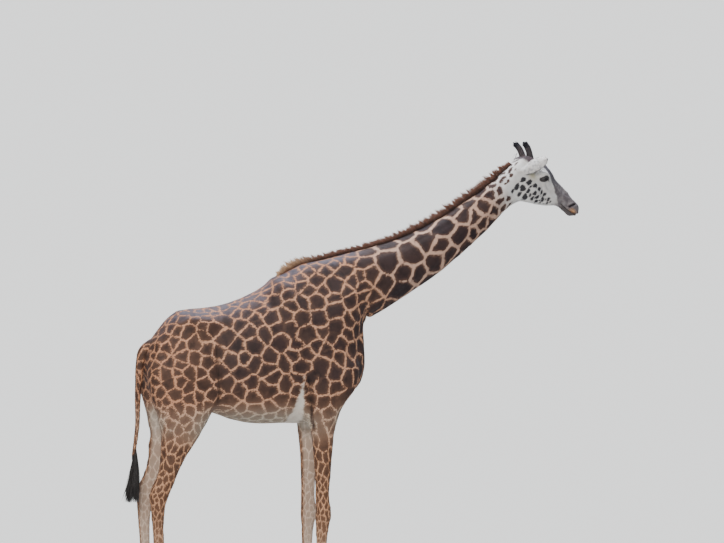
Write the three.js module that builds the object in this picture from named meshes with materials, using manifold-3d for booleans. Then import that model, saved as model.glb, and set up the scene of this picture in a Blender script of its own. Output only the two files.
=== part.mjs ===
// An adult Masai giraffe standing still, life size, in millimetres with +Z up.
// Body frame: X forward, Y to the animal's left, Z up from the ground, X = 0 above the fore hooves.
// The flesh is one smooth field (negative inside), made of lofts and ellipsoids that melt together.
// It is turned into faceted solids region by region, and thin cuts part it where a person would
// name its pieces. The last lines move the origin to the middle of the box's bottom face.
import * as THREE from "three";
import { mergeVertices } from "three/addons/utils/BufferGeometryUtils.js";
import Module from "manifold-3d";

const wasm = await Module();
wasm.setup();

// ---------------------------------------------------------------- driving dimensions

const GAP = 0.4; // clearance between neighbouring pieces
const SPECK = 0.05;
const LAP = 3; // how far the regions of the nape overlap where they make one cutter
const SWELL = 1.2; // how much a piece grows before it is cut out of what grows from it
const MIDLINE_GAP = 0.3; // half the cleft between the left and right legs' flat inner faces

// Trunk, by X: [x, back line, belly line, half width, height of the widest place].
const TRUNK = [
  [-1412, 2250, 2110, 70, 2180],
  [-1330, 2396, 1960, 160, 2190],
  [-1219, 2538, 1880, 222, 2180],
  [-1110, 2618, 1835, 252, 2170],
  [-866, 2640, 1800, 286, 2150],
  [-690, 2680, 1740, 318, 2130],
  [-500, 2760, 1708, 330, 2130],
  [-297, 2890, 1708, 318, 2140],
  [-130, 2955, 1706, 288, 2150],
  [60, 2960, 1740, 252, 2170],
  [230, 2860, 1900, 215, 2210],
  [330, 2700, 2045, 170, 2260],
  [402, 2480, 2150, 105, 2290],
];
const TRUNK_POWER = 2.15;

// Neck, along its straight axis: [u, nape line, throat line, half width, widest place], the two
// lines and the widest place measured square to the axis.
const NECK_BASE = { x: 400, z: 2800 };
const NECK_PITCH = 32; // degrees above level
const NECK = [
  [-520, 400, -60, 120, 60],
  [-330, 402, -180, 165, 40],
  [-141, 352, -245, 182, 20],
  [186, 247, -260, 170, 0],
  [511, 156, -264, 146, -50],
  [885, 117, -234, 118, -60],
  [1232, 112, -181, 98, -30],
  [1458, 128, -141, 88, 0],
  [1640, 150, -150, 84, 0],
];
const NECK_POWER = 2.1;
const NECK_BEND = 7e-5; // the neck's sideways drift to the left is this times X squared

// Head, along its own axis: [s, crown and nose line, jaw line, half width, widest place].
const HEAD_ORIGIN = new THREE.Vector3(1825, 233, 3745);
const HEAD_YAW = 14; // degrees to the animal's left
const HEAD_PITCH = -36.5; // degrees, muzzle down
const HEAD = [
  [-128, 0, -170, 62, -70],
  [-70, 62, -215, 88, -50],
  [0, 108, -240, 98, -10],
  [80, 138, -232, 97, 20],
  [165, 139, -200, 92, 30],
  [260, 121, -160, 72, 20],
  [350, 116, -108, 57, 12],
  [440, 108, -44, 50, 22],
  [530, 90, -34, 55, 28],
  [590, 68, -14, 56, 26],
  [638, 38, 8, 44, 24],
];
const HEAD_POWER = 2.2;

// Ears, horns and eyes in head axes: along the head, to the left, and up square to it.
const EAR_ROOT = new THREE.Vector3(-58, 96, -52);
const EAR_TIP_RIGHT = new THREE.Vector3(16, -214, 130);
const EAR_TIP_LEFT = new THREE.Vector3(-44, 222, 134);
const EAR_WIDTH = 122;
const EAR_THICKNESS = 9;
const EAR_CUP = 34; // how far the ear's edges curl forward
const HORN_ROOT = new THREE.Vector3(-20, 51, 84);
const HORN_TIP = new THREE.Vector3(-154, 72, 150);
const HORN_RADII = [38, 31, 28, 27, 26, 21, 9];
const HORN_ARCH = 18; // how far the horn bows up on its way back
const EYE_CENTRE = new THREE.Vector3(156, 88, 22);
const EYE_RADIUS = 26;

// Legs, by Z: [z, front line, rear line, half width, distance of the leg's middle from Y = 0].
const FORELEG = [
  [70, 116, -36, 66, 190],
  [130, 98, -32, 54, 190],
  [190, 72, -42, 46, 190],
  [270, 58, -66, 55, 190],
  [350, 46, -52, 45, 190],
  [640, 44, -42, 39, 191],
  [860, 57, -46, 47, 193],
  [985, 82, -54, 63, 195],
  [1120, 68, -54, 56, 196],
  [1380, 78, -62, 62, 197],
  [1600, 102, -84, 76, 196],
  [1750, 136, -112, 90, 190],
  [1910, 192, -140, 96, 182],
  [2110, 285, -110, 96, 172],
];
const HINDLEG = [
  [70, -1136, -1290, 64, 186],
  [130, -1156, -1284, 53, 186],
  [190, -1184, -1298, 45, 186],
  [270, -1210, -1336, 54, 186],
  [350, -1238, -1336, 45, 187],
  [640, -1266, -1356, 39, 189],
  [900, -1280, -1374, 42, 192],
  [1060, -1270, -1392, 52, 195],
  [1180, -1228, -1402, 58, 198],
  [1290, -1180, -1352, 54, 199],
  [1420, -1121, -1322, 60, 199],
  [1604, -1004, -1306, 86, 194],
  [1780, -905, -1334, 112, 184],
  [1922, -845, -1366, 132, 172],
  [2110, -872, -1396, 134, 160],
  [2290, -950, -1360, 110, 150],
];
const LEG_POWER = 2.2;
const LEG_SHIFT = { foreRight: 0, foreLeft: -28, hindRight: 0, hindLeft: -48 };
const SHIFT_FADES_AT = 1850; // the height above which a leg's shift is nothing

// Hooves: each foot has two toes.
const HOOF_LENGTH = 212;
const HOOF_WIDTH = 86;
const HOOF_FRONT_HEIGHT = 112;
const HOOF_HEEL_HEIGHT = 66;
const HOOF_CLEFT = 3;
const FORE_HOOF_X = 46;
const HIND_HOOF_X = -1206;

// Tail: [x, z, radius] from the root down.
const TAIL = [
  [-1330, 2345, 46],
  [-1398, 2290, 45],
  [-1428, 2180, 38],
  [-1440, 2040, 31],
  [-1447, 1900, 25],
  [-1451, 1700, 20],
  [-1468, 1560, 18],
  [-1482, 1490, 18],
];
const TUFT = [
  [-1480, 1515, 26],
  [-1490, 1455, 50],
  [-1505, 1370, 60],
  [-1518, 1270, 52],
  [-1532, 1170, 34],
  [-1545, 1085, 9],
];

// Mane: [x, height of the ridge above the skin].
const MANE = [
  [-290, 10],
  [-235, 70],
  [-130, 76],
  [130, 54],
  [400, 46],
  [700, 56],
  [1160, 62],
  [1430, 56],
  [1600, 42],
  [1700, 30],
];
const MANE_HALF_FOOT = 18;
const MANE_HALF_RIDGE = 6;
const RIDGE_STEP = 4; // how finely the nape line is found from above
const MANE_STEPS = 13;
const MANE_SUNK = 26; // how deep its foot starts below the nape line, before it is cut to fit

// Where the body is parted, as lines in the side view.
const NECK_CUT = { x: 416, z: 2507, pitch: 32 };
const HEAD_CUT = { x: 1722, z: 3625, pitch: 12.8 };
const FORELEG_CUT = { rear: -150, elbow: 1750, front: 640, top: 2065 };
const HINDLEG_CUT = { front: -776, flank: 1812, rear: -1720, top: 2402 };
const KNEE_CUT = 1000;
const HOCK_CUT = 1180;

// Cell sizes of the facets, along each grid's own axes.
const CELLS = {
  trunk: [108, 86, 96],
  neck: [132, 58, 64],
  head: [33, 31, 31],
  foreUpper: [62, 56, 98],
  hindUpper: [68, 64, 98],
  lower: [36, 36, 92],
};

const COLOURS = {
  coat: 0x5a3d2e,
  face: 0xb9aea4,
  mane: 0x8a5c3c,
  dark: 0x1d1a1c,
  hoof: 0x39302b,
  eye: 0x0c0a0a,
  ear: 0xd8cfc4,
};

// ---------------------------------------------------------------- curves and fields

const radians = THREE.MathUtils.degToRad;
const clamp = THREE.MathUtils.clamp;

// A smooth curve through rows of [position, value, value, ...] that never overshoots a row.
function curveThrough(rows) {
  const count = rows.length;
  const columns = rows[0].length - 1;
  const slopes = rows.map(() => new Array(columns).fill(0));
  for (let c = 0; c < columns; c++) {
    for (let i = 1; i < count - 1; i++) {
      const before = (rows[i][c + 1] - rows[i - 1][c + 1]) / (rows[i][0] - rows[i - 1][0]);
      const after = (rows[i + 1][c + 1] - rows[i][c + 1]) / (rows[i + 1][0] - rows[i][0]);
      slopes[i][c] = before * after > 0 ? (2 * before * after) / (before + after) : 0;
    }
    const last = count - 1;
    slopes[0][c] = (rows[1][c + 1] - rows[0][c + 1]) / (rows[1][0] - rows[0][0]);
    slopes[last][c] =
      (rows[last][c + 1] - rows[last - 1][c + 1]) / (rows[last][0] - rows[last - 1][0]);
  }
  return (position) => {
    const p = clamp(position, rows[0][0], rows[count - 1][0]);
    let i = 0;
    while (i < count - 2 && p > rows[i + 1][0]) i++;
    const step = rows[i + 1][0] - rows[i][0];
    const t = (p - rows[i][0]) / step;
    const values = [];
    for (let c = 0; c < columns; c++) {
      const a = rows[i][c + 1];
      const b = rows[i + 1][c + 1];
      const ease = t * t * (3 - 2 * t);
      const start = t * (1 - t) * (1 - t) * step * slopes[i][c];
      const end = t * t * (1 - t) * step * slopes[i + 1][c];
      values.push(a + (b - a) * ease + start - end);
    }
    return values;
  };
}

// A body lofted along t through rows of [t, high, low, half width, widest place].
// Its ends are rounded over startRound and endRound.
function loft(rows, power, startRound, endRound) {
  const section = curveThrough(rows);
  const first = rows[0][0];
  const last = rows[rows.length - 1][0];
  return (t, side, height) => {
    const [high, low, half, wide] = section(t);
    const fromEnd = Math.max((first + startRound - t) / startRound, (t - last + endRound) / endRound);
    const shrink = Math.sqrt(1 - clamp(fromEnd, 0, 0.9999) ** 2);
    const rise = height - wide;
    const reach = (rise > 0 ? high - wide : wide - low) * shrink;
    const span = Math.max(Math.hypot(side, rise), 1e-3);
    const across = Math.abs(side) / (half * shrink);
    const ratio = (across ** power + Math.abs(rise / reach) ** power) ** (1 / power);
    const beyond = Math.max(first - t, t - last, 0);
    const outside = span * (1 - 1 / ratio);
    return beyond > 0 ? Math.hypot(beyond, Math.max(outside, 0)) : outside;
  };
}

// A leg is lofted along Z, with its section measured along Y and X.
function legLoft(rows) {
  const middles = rows.map(([z, front, rear, half]) => [z, front, rear, half, (front + rear) / 2]);
  const shape = loft(middles, LEG_POWER, 20, 160);
  const stance = curveThrough(rows.map((row) => [row[0], row[4]]));
  return (x, y, z, side, shift) => {
    const moved = x - shift * clamp(1 - z / SHIFT_FADES_AT, 0, 1);
    return shape(z, y - side * stance(z)[0], moved);
  };
}

// An ellipsoid, tilted by `pitch` degrees in the side view.
function ellipsoid(centre, radii, pitch = 0) {
  const c = Math.cos(radians(pitch));
  const s = Math.sin(radians(pitch));
  return (x, y, z) => {
    const dx = x - centre[0];
    const dz = z - centre[2];
    const p = [(c * dx + s * dz) / radii[0], (y - centre[1]) / radii[1], (c * dz - s * dx) / radii[2]];
    const near = Math.hypot(...p);
    const slope = Math.hypot(p[0] / radii[0], p[1] / radii[1], p[2] / radii[2]);
    return (near * (near - 1)) / Math.max(slope, 1e-6);
  };
}

// The union of two fields, melted together over the width k.
function melt(a, b, k) {
  const h = Math.max(k - Math.abs(a - b), 0) / k;
  return Math.min(a, b) - (h * h * h * k) / 6;
}

const neckAxis = { c: Math.cos(radians(NECK_PITCH)), s: Math.sin(radians(NECK_PITCH)) };
const neckDrift = (x) => NECK_BEND * Math.max(x, 0) ** 2;

// Head axes to body axes: s along the head, y to its left, t up square to it.
const headFrame = new THREE.Matrix4()
  .makeTranslation(HEAD_ORIGIN)
  .multiply(new THREE.Matrix4().makeRotationZ(radians(HEAD_YAW)))
  .multiply(new THREE.Matrix4().makeRotationY(radians(-HEAD_PITCH)));
const toHeadFrame = headFrame.clone().invert().elements;

const trunkShape = loft(TRUNK, TRUNK_POWER, 60, 40);
const neckShape = loft(NECK, NECK_POWER, 160, 60);
const headShape = loft(HEAD, HEAD_POWER, 60, 46);
const forelegShape = legLoft(FORELEG);
const hindlegShape = legLoft(HINDLEG);

const shoulder = ellipsoid([70, 178, 2380], [190, 84, 470], -24);
const upperArm = ellipsoid([110, 192, 2010], [150, 92, 250], -42);
const thigh = ellipsoid([-1120, 150, 2080], [270, 120, 330], 0);
const hipPoint = ellipsoid([-985, 176, 2520], [120, 60, 60], 10);
const brisket = ellipsoid([300, 0, 2180], [112, 120, 220], 0);

const brow = ellipsoid([150, 78, 44], [70, 44, 42], 0);
const cheek = ellipsoid([118, 50, -100], [120, 42, 100], 18);
const temple = ellipsoid([-10, 60, 56], [78, 46, 56], 0);
const nostrilRim = ellipsoid([556, 34, 58], [44, 26, 30], 0);
const lowerLip = ellipsoid([570, 0, -10], [50, 40, 24], 16);
const noseBoss = ellipsoid([168, 0, 116], [92, 46, 36], 4);

function trunkField(x, y, z) {
  const side = Math.abs(y);
  let f = trunkShape(x, y, z);
  f = melt(f, shoulder(x, side, z), 110);
  f = melt(f, upperArm(x, side, z), 90);
  f = melt(f, thigh(x, side, z), 110);
  f = melt(f, hipPoint(x, side, z), 110);
  return melt(f, brisket(x, side, z), 120);
}

function neckField(x, y, z) {
  const dx = x - NECK_BASE.x;
  const dz = z - NECK_BASE.z;
  const along = neckAxis.c * dx + neckAxis.s * dz;
  const up = neckAxis.c * dz - neckAxis.s * dx;
  return neckShape(along, y - neckDrift(x), up);
}

// The head in its own axes.
function headLocalField(s, y, t) {
  const side = Math.abs(y);
  let f = headShape(s, y, t);
  f = melt(f, brow(s, side, t), 44);
  f = melt(f, cheek(s, side, t), 60);
  f = melt(f, temple(s, side, t), 50);
  f = melt(f, noseBoss(s, side, t), 40);
  f = melt(f, nostrilRim(s, side, t), 26);
  return melt(f, lowerLip(s, side, t), 20);
}

function headField(x, y, z) {
  const e = toHeadFrame;
  const s = e[0] * x + e[4] * y + e[8] * z + e[12];
  const side = e[1] * x + e[5] * y + e[9] * z + e[13];
  const t = e[2] * x + e[6] * y + e[10] * z + e[14];
  return headLocalField(s, side, t);
}

function bodyField(x, y, z) {
  const side = y < 0 ? -1 : 1;
  const fore = side < 0 ? LEG_SHIFT.foreRight : LEG_SHIFT.foreLeft;
  const hind = side < 0 ? LEG_SHIFT.hindRight : LEG_SHIFT.hindLeft;
  let f = melt(trunkField(x, y, z), neckField(x, y, z), 130);
  f = melt(f, headField(x, y, z), 70);
  f = melt(f, forelegShape(x, y, z, side, fore), 100);
  return melt(f, hindlegShape(x, y, z, side, hind), 100);
}

// ---------------------------------------------------------------- from a field to a faceted solid

function slopeOf(field, p, step) {
  return new THREE.Vector3(
    field(p.x + step, p.y, p.z) - field(p.x - step, p.y, p.z),
    field(p.x, p.y + step, p.z) - field(p.x, p.y - step, p.z),
    field(p.x, p.y, p.z + step) - field(p.x, p.y, p.z - step),
  ).divideScalar(2 * step);
}

// Moves a point onto the field's zero surface, by no more than `most`.
function settle(field, p, most) {
  for (let round = 0; round < 3; round++) {
    const slope = slopeOf(field, p, 2);
    const pull = field(p.x, p.y, p.z) / Math.max(slope.lengthSq(), 0.05);
    slope.multiplyScalar(clamp(pull, -most, most));
    p.sub(slope);
  }
}

// The surface of a field inside a box of the given frame, as a closed mesh of one vertex per
// crossed cell. Outside the box everything counts as air, so the mesh closes there.
function surface(field, frame, low, high, cell) {
  const size = [0, 1, 2].map((a) => Math.ceil((high[a] - low[a]) / cell[a]) + 1);
  const place = (i, j, k) =>
    new THREE.Vector3(low[0] + i * cell[0], low[1] + j * cell[1], low[2] + k * cell[2]).applyMatrix4(
      frame,
    );
  const index = (i, j, k) => (k * size[1] + j) * size[0] + i;
  const values = new Float64Array(size[0] * size[1] * size[2]);
  for (let k = 0; k < size[2]; k++)
    for (let j = 0; j < size[1]; j++)
      for (let i = 0; i < size[0]; i++) {
        const p = place(i, j, k);
        const edge = [i, j, k].some((n, a) => n === 0 || n === size[a] - 1);
        const value = field(p.x, p.y, p.z);
        values[index(i, j, k)] = edge ? Math.max(value, cell[0] * 0.3) : value;
      }
  const positions = [];
  const vertexOf = new Map();
  const most = Math.min(...cell) * 0.35;
  for (let k = 0; k < size[2] - 1; k++)
    for (let j = 0; j < size[1] - 1; j++)
      for (let i = 0; i < size[0] - 1; i++) {
        const sum = new THREE.Vector3();
        let crossings = 0;
        for (let corner = 0; corner < 8; corner++)
          for (let axis = 0; axis < 3; axis++) {
            if (corner & (1 << axis)) continue;
            const a = [i + (corner & 1), j + ((corner >> 1) & 1), k + ((corner >> 2) & 1)];
            const b = a.map((n, m) => (m === axis ? n + 1 : n));
            const va = values[index(...a)];
            const vb = values[index(...b)];
            if (va < 0 === vb < 0) continue;
            sum.add(place(...a).lerp(place(...b), va / (va - vb)));
            crossings++;
          }
        if (!crossings) continue;
        sum.divideScalar(crossings);
        const rim = [i, j, k].some((n, a) => n === 0 || n === size[a] - 2);
        if (!rim) settle(field, sum, most);
        vertexOf.set(index(i, j, k), positions.length / 3);
        positions.push(sum.x, sum.y, sum.z);
      }
  const triangles = [];
  const far = (a, b) => {
    let d = 0;
    for (let m = 0; m < 3; m++) d += (positions[3 * a + m] - positions[3 * b + m]) ** 2;
    return d;
  };
  for (let k = 0; k < size[2] - 1; k++)
    for (let j = 0; j < size[1] - 1; j++)
      for (let i = 0; i < size[0] - 1; i++)
        for (let axis = 0; axis < 3; axis++) {
          const next = [i, j, k].map((n, m) => (m === axis ? n + 1 : n));
          const inside = values[index(i, j, k)] < 0;
          if (inside === values[index(...next)] < 0) continue;
          const u = (axis + 1) % 3;
          const v = (axis + 2) % 3;
          const ring = [
            [0, 0],
            [1, 0],
            [1, 1],
            [0, 1],
          ].map(([du, dv]) => {
            const at = [i, j, k];
            at[u] -= du;
            at[v] -= dv;
            return vertexOf.get(index(...at));
          });
          if (!inside) ring.reverse();
          const [a, b, c, d] = ring;
          if (far(a, c) < far(b, d)) triangles.push(a, b, c, a, c, d);
          else triangles.push(a, b, d, b, c, d);
        }
  return closedMesh(positions, triangles);
}

function closedMesh(positions, triangles) {
  const geometry = new THREE.BufferGeometry();
  geometry.setAttribute("position", new THREE.Float32BufferAttribute(positions, 3));
  geometry.setIndex(triangles);
  return geometry;
}

// ---------------------------------------------------------------- meshes and solids

function solid(geometry) {
  const bare = geometry.clone();
  bare.deleteAttribute("normal");
  bare.deleteAttribute("uv");
  const merged = mergeVertices(bare, 1e-3);
  const made = new wasm.Manifold(
    new wasm.Mesh({
      numProp: 3,
      vertProperties: new Float32Array(merged.attributes.position.array),
      triVerts: new Uint32Array(merged.index.array),
    }),
  );
  return made;
}

// The mesh of a solid, without the specks that a cut leaves: points closer than SPECK are joined.
function geometryOf(made) {
  const mesh = made.getMesh();
  const raw = closedMesh(Array.from(mesh.vertProperties), Array.from(mesh.triVerts));
  const merged = mergeVertices(raw, SPECK);
  const corners = Array.from(merged.index.array);
  const kept = [];
  for (let i = 0; i < corners.length; i += 3) {
    const [a, b, c] = corners.slice(i, i + 3);
    if (a !== b && b !== c && c !== a) kept.push(a, b, c);
  }
  return closedMesh(Array.from(merged.attributes.position.array), kept);
}

// The same mesh with every vertex pushed out along its normal.
function swollen(made, by) {
  const geometry = geometryOf(made);
  geometry.computeVertexNormals();
  const p = geometry.attributes.position;
  const n = geometry.attributes.normal;
  for (let i = 0; i < p.count; i++)
    p.setXYZ(i, p.getX(i) + n.getX(i) * by, p.getY(i) + n.getY(i) * by, p.getZ(i) + n.getZ(i) * by);
  geometry.deleteAttribute("normal");
  return solid(geometry);
}

// A closed body skinned over a stack of rings that have the same number of points.
function stacked(rings) {
  const sides = rings[0].length;
  const positions = rings.flat().flatMap((p) => [p.x, p.y, p.z]);
  const triangles = [];
  for (let r = 0; r < rings.length - 1; r++)
    for (let i = 0; i < sides; i++) {
      const a = r * sides + i;
      const b = r * sides + ((i + 1) % sides);
      triangles.push(a, b, b + sides, a, b + sides, a + sides);
    }
  const top = (rings.length - 1) * sides;
  for (let i = 1; i < sides - 1; i++) {
    triangles.push(0, i + 1, i);
    triangles.push(top, top + i, top + i + 1);
  }
  return closedMesh(positions, triangles);
}

// A round bar of changing radius along points, its rings square to the path.
function bar(points, radii, sides) {
  const side = new THREE.Vector3();
  const up = new THREE.Vector3();
  const rings = points.map((point, i) => {
    const before = points[Math.max(i - 1, 0)];
    const after = points[Math.min(i + 1, points.length - 1)];
    const along = after.clone().sub(before).normalize();
    side.set(0, 1, 0).addScaledVector(along, -along.y).normalize();
    up.crossVectors(along, side);
    return Array.from({ length: sides }, (_, n) => {
      const angle = (2 * Math.PI * n) / sides;
      return point
        .clone()
        .addScaledVector(side, radii[i] * Math.cos(angle))
        .addScaledVector(up, radii[i] * Math.sin(angle));
    });
  });
  return stacked(rings);
}

// A prism over an outline in the side view, from yLow to yHigh.
function prism(outline, yLow, yHigh) {
  const ring = (y) => outline.map(([x, z]) => new THREE.Vector3(x, y, z));
  return solid(stacked([ring(yHigh), ring(yLow)]));
}

// All that lies ahead of a line in the side view: the line passes through `cut` and its square
// direction has the cut's pitch. `shift` moves the line forward.
const FAR = 6000;
function ahead(cut, shift) {
  const c = Math.cos(radians(cut.pitch));
  const s = Math.sin(radians(cut.pitch));
  const corner = (forward, up) => [
    cut.x + c * (forward + shift) - s * up,
    cut.z + s * (forward + shift) + c * up,
  ];
  return prism([corner(0, -FAR), corner(FAR, -FAR), corner(FAR, FAR), corner(0, FAR)], -FAR, FAR);
}

// ---------------------------------------------------------------- the body, parted

function forelegWedge(gap, yLow, yHigh) {
  const { rear, elbow, front, top } = FORELEG_CUT;
  const outline = [
    [rear + gap, -100],
    [front, -100],
    [front, top - 1.2 * gap],
    [rear + gap, elbow - 1.2 * gap],
  ];
  return prism(outline, yLow, yHigh);
}

function hindlegWedge(gap, yLow, yHigh) {
  const { front, flank, rear, top } = HINDLEG_CUT;
  const outline = [
    [rear, -100],
    [front - gap, -100],
    [front - gap, flank - 1.2 * gap],
    [rear, top - 1.2 * gap],
  ];
  return prism(outline, yLow, yHigh);
}

const level = new THREE.Matrix4();
const HALF_WIDTH = 420;

// Each of these gives the flesh around one region, `whole`, and the piece that is cut from it.
function makeTrunk() {
  const low = [-1520, -HALF_WIDTH, 1520];
  const high = [700, HALF_WIDTH, 3260];
  const whole = solid(surface(bodyField, level, low, high, CELLS.trunk));
  const piece = whole
    .subtract(ahead(NECK_CUT, 0))
    .subtract(forelegWedge(0, -FAR, FAR))
    .subtract(hindlegWedge(0, -FAR, FAR));
  return { whole, piece };
}

function makeNeck() {
  const frame = new THREE.Matrix4()
    .makeTranslation(NECK_BASE.x, 0, NECK_BASE.z)
    .multiply(new THREE.Matrix4().makeRotationY(radians(-NECK_PITCH)));
  const low = [-300, -340, -440];
  const high = [1800, 470, 480];
  const whole = solid(surface(bodyField, frame, low, high, CELLS.neck));
  const piece = whole.intersect(ahead(NECK_CUT, GAP)).subtract(ahead(HEAD_CUT, -GAP));
  return { whole, piece };
}

function makeHead() {
  const low = [-340, -190, -460];
  const high = [690, 190, 260];
  const whole = solid(surface(bodyField, headFrame, low, high, CELLS.head));
  const socket = (side) => solid(eyeBall(side, EYE_RADIUS + GAP));
  const piece = whole.intersect(ahead(HEAD_CUT, 0)).subtract(socket(1)).subtract(socket(-1));
  return { whole, piece };
}

// The upper and lower piece of one leg; `kind` is fore or hind, `side` is 1 for left, -1 for right.
function makeLeg(kind, side) {
  const fore = kind === "fore";
  const [yLow, yHigh] = side < 0 ? [-HALF_WIDTH, -MIDLINE_GAP] : [MIDLINE_GAP, HALF_WIDTH];
  const [gridLow, gridHigh] = side < 0 ? [-HALF_WIDTH, 80] : [-80, HALF_WIDTH];
  const joint = fore ? KNEE_CUT : HOCK_CUT;
  const [rear, front, top] = fore ? [-240, 520, 2280] : [-1500, -680, 2420];
  const cell = fore ? CELLS.foreUpper : CELLS.hindUpper;
  const part = (low, high, size) =>
    solid(surface(bodyField, level, [rear, gridLow, low], [front, gridHigh, high], size));
  const wholeUpper = part(joint - 130, top, cell);
  const wholeLower = part(20, joint + 110, CELLS.lower);
  const wedge = fore ? forelegWedge : hindlegWedge;
  return {
    wholeUpper,
    upper: wholeUpper.intersect(wedge(GAP, yLow, yHigh)).intersect(between(joint + GAP / 2, FAR)),
    lower: wholeLower
      .intersect(between(-FAR, joint - GAP / 2))
      .subtract(hoofSpace(kind, legShift(kind, side))),
  };
}

// All that lies between two heights.
function between(low, high) {
  return prism([[-FAR, low], [FAR, low], [FAR, high], [-FAR, high]], -FAR, FAR);
}

function legShift(kind, side) {
  return LEG_SHIFT[kind + (side < 0 ? "Right" : "Left")];
}

// ---------------------------------------------------------------- hooves

function hoofMiddle(kind, shift) {
  return (kind === "fore" ? FORE_HOOF_X : HIND_HOOF_X) + shift;
}

// The height of the hoof's top, which slopes down to the heel.
function hoofTop(along) {
  const t = along / HOOF_LENGTH + 0.5;
  return HOOF_HEEL_HEIGHT + (HOOF_FRONT_HEIGHT - HOOF_HEEL_HEIGHT) * t;
}

// All below the hooves' sloping top, as a cutter for the lower leg.
function hoofSpace(kind, shift) {
  const middle = hoofMiddle(kind, shift);
  const reach = 400;
  return prism(
    [
      [middle - reach, -FAR],
      [middle + reach, -FAR],
      [middle + reach, hoofTop(reach) + GAP],
      [middle - reach, hoofTop(-reach) + GAP],
    ],
    -FAR,
    FAR,
  );
}

// One toe: a flat sole, a sloping front wall and a D-shaped outline with its flat side inwards.
function toe(kind, side, inner, shift) {
  const rows = kind === "fore" ? FORELEG : HINDLEG;
  const stance = rows[0][4] * side;
  const out = inner ? -side : side;
  const sides = 12;
  const middle = hoofMiddle(kind, shift);
  const ring = (size, back, heightAt) =>
    Array.from({ length: sides }, (_, n) => {
      const angle = (2 * Math.PI * n) / sides;
      const along = (Math.cos(angle) * HOOF_LENGTH * size) / 2;
      const bulge = 0.5 - 0.5 * Math.sin(angle);
      const narrow = 1 - 0.34 * Math.max(Math.cos(angle), 0) ** 2;
      const across = HOOF_WIDTH * (0.03 + bulge * narrow * size);
      return new THREE.Vector3(
        middle + along - back,
        stance + out * (HOOF_CLEFT + across),
        heightAt(along - back),
      );
    });
  const rings = [
    ring(1, 0, () => 0),
    ring(0.98, 6, (along) => 0.3 * hoofTop(along)),
    ring(0.8, 22, (along) => hoofTop(along)),
  ];
  if (out > 0) rings.forEach((points) => points.reverse());
  return stacked(rings);
}

// ---------------------------------------------------------------- head fittings

const sided = (v, side) => new THREE.Vector3(v.x, v.y * side, v.z);

function eyeBall(side, radius) {
  const ball = new THREE.SphereGeometry(radius, 12, 7);
  const centre = sided(EYE_CENTRE, side).applyMatrix4(headFrame);
  return ball.translate(centre.x, centre.y, centre.z);
}

function horn(side) {
  const from = sided(HORN_ROOT, side);
  const to = sided(HORN_TIP, side);
  const points = HORN_RADII.map((_, i) => {
    const t = i / (HORN_RADII.length - 1);
    const point = from.clone().lerp(to, t);
    point.z += HORN_ARCH * Math.sin(Math.PI * t);
    return point.applyMatrix4(headFrame);
  });
  return bar(points, HORN_RADII, 8);
}

// An ear: a leaf whose edges curl forward, built as one closed shell of two sheets.
function ear(side) {
  const root = sided(EAR_ROOT, side);
  const tip = side < 0 ? EAR_TIP_RIGHT : EAR_TIP_LEFT;
  const along = tip.clone().sub(root);
  const axis = along.clone().normalize();
  const face = new THREE.Vector3(0.72, -0.6 * side, 0.12);
  face.addScaledVector(axis, -face.dot(axis)).normalize();
  const across = new THREE.Vector3().crossVectors(axis, face);
  const lengths = 6;
  const widths = 4;
  const leaf = curveThrough([
    [0, 0.6],
    [0.3, 0.92],
    [0.6, 1],
    [0.86, 0.74],
    [1, 0.22],
  ]);
  const sheet = (offset) => {
    const points = [];
    for (let i = 0; i <= lengths; i++)
      for (let j = 0; j <= widths; j++) {
        const v = i / lengths;
        const q = (2 * j) / widths - 1;
        const half = (EAR_WIDTH / 2) * leaf(v)[0];
        const curl = EAR_CUP * (1 - 0.7 * v) * q * q + 14 * v * v;
        const thick = EAR_THICKNESS * (1 - 0.55 * v) * (1 - 0.8 * q * q);
        points.push(
          root
            .clone()
            .addScaledVector(along, v)
            .addScaledVector(across, half * q)
            .addScaledVector(face, curl + offset * thick),
        );
      }
    return points;
  };
  const back = sheet(-0.5);
  const front = sheet(0.5);
  const points = back.concat(front).map((p) => p.applyMatrix4(headFrame));
  const row = widths + 1;
  const half = back.length;
  const triangles = [];
  const quad = (a, b, c, d) => triangles.push(a, c, b, a, d, c);
  for (let i = 0; i < lengths; i++)
    for (let j = 0; j < widths; j++) {
      const a = i * row + j;
      quad(a, a + 1, a + row + 1, a + row);
      quad(half + a, half + a + row, half + a + row + 1, half + a + 1);
    }
  for (let i = 0; i < lengths; i++) {
    const a = i * row;
    const b = a + widths;
    quad(a, a + row, half + a + row, half + a);
    quad(b, half + b, half + b + row, b + row);
  }
  for (let j = 0; j < widths; j++) {
    const top = lengths * row + j;
    quad(j, half + j, half + j + 1, j + 1);
    quad(top, top + 1, half + top + 1, half + top);
  }
  return closedMesh(
    points.flatMap((p) => [p.x, p.y, p.z]),
    triangles,
  );
}

// ---------------------------------------------------------------- mane and tail

// The top of the skin on the middle line, found from above.
function ridge(x) {
  const y = neckDrift(x);
  let high = 4000;
  while (bodyField(x, y, high) > 0) high -= RIDGE_STEP;
  return high;
}

function mane() {
  const height = curveThrough(MANE);
  const first = MANE[0][0];
  const last = MANE[MANE.length - 1][0];
  const rings = [];
  for (let i = 0; i <= MANE_STEPS; i++) {
    const x = first + ((last - first) * i) / MANE_STEPS;
    const y = neckDrift(x);
    const slope = (ridge(x + 20) - ridge(x - 20)) / 40;
    const lean = 1 / Math.hypot(1, slope);
    const at = (side, up) =>
      new THREE.Vector3(x - up * lean * slope, y + side, ridge(x) + up * lean);
    const tall = height(x)[0];
    rings.push([
      at(MANE_HALF_FOOT, -MANE_SUNK),
      at(MANE_HALF_RIDGE, tall),
      at(-MANE_HALF_RIDGE, tall),
      at(-MANE_HALF_FOOT, -MANE_SUNK),
    ]);
  }
  return stacked(rings);
}

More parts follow.
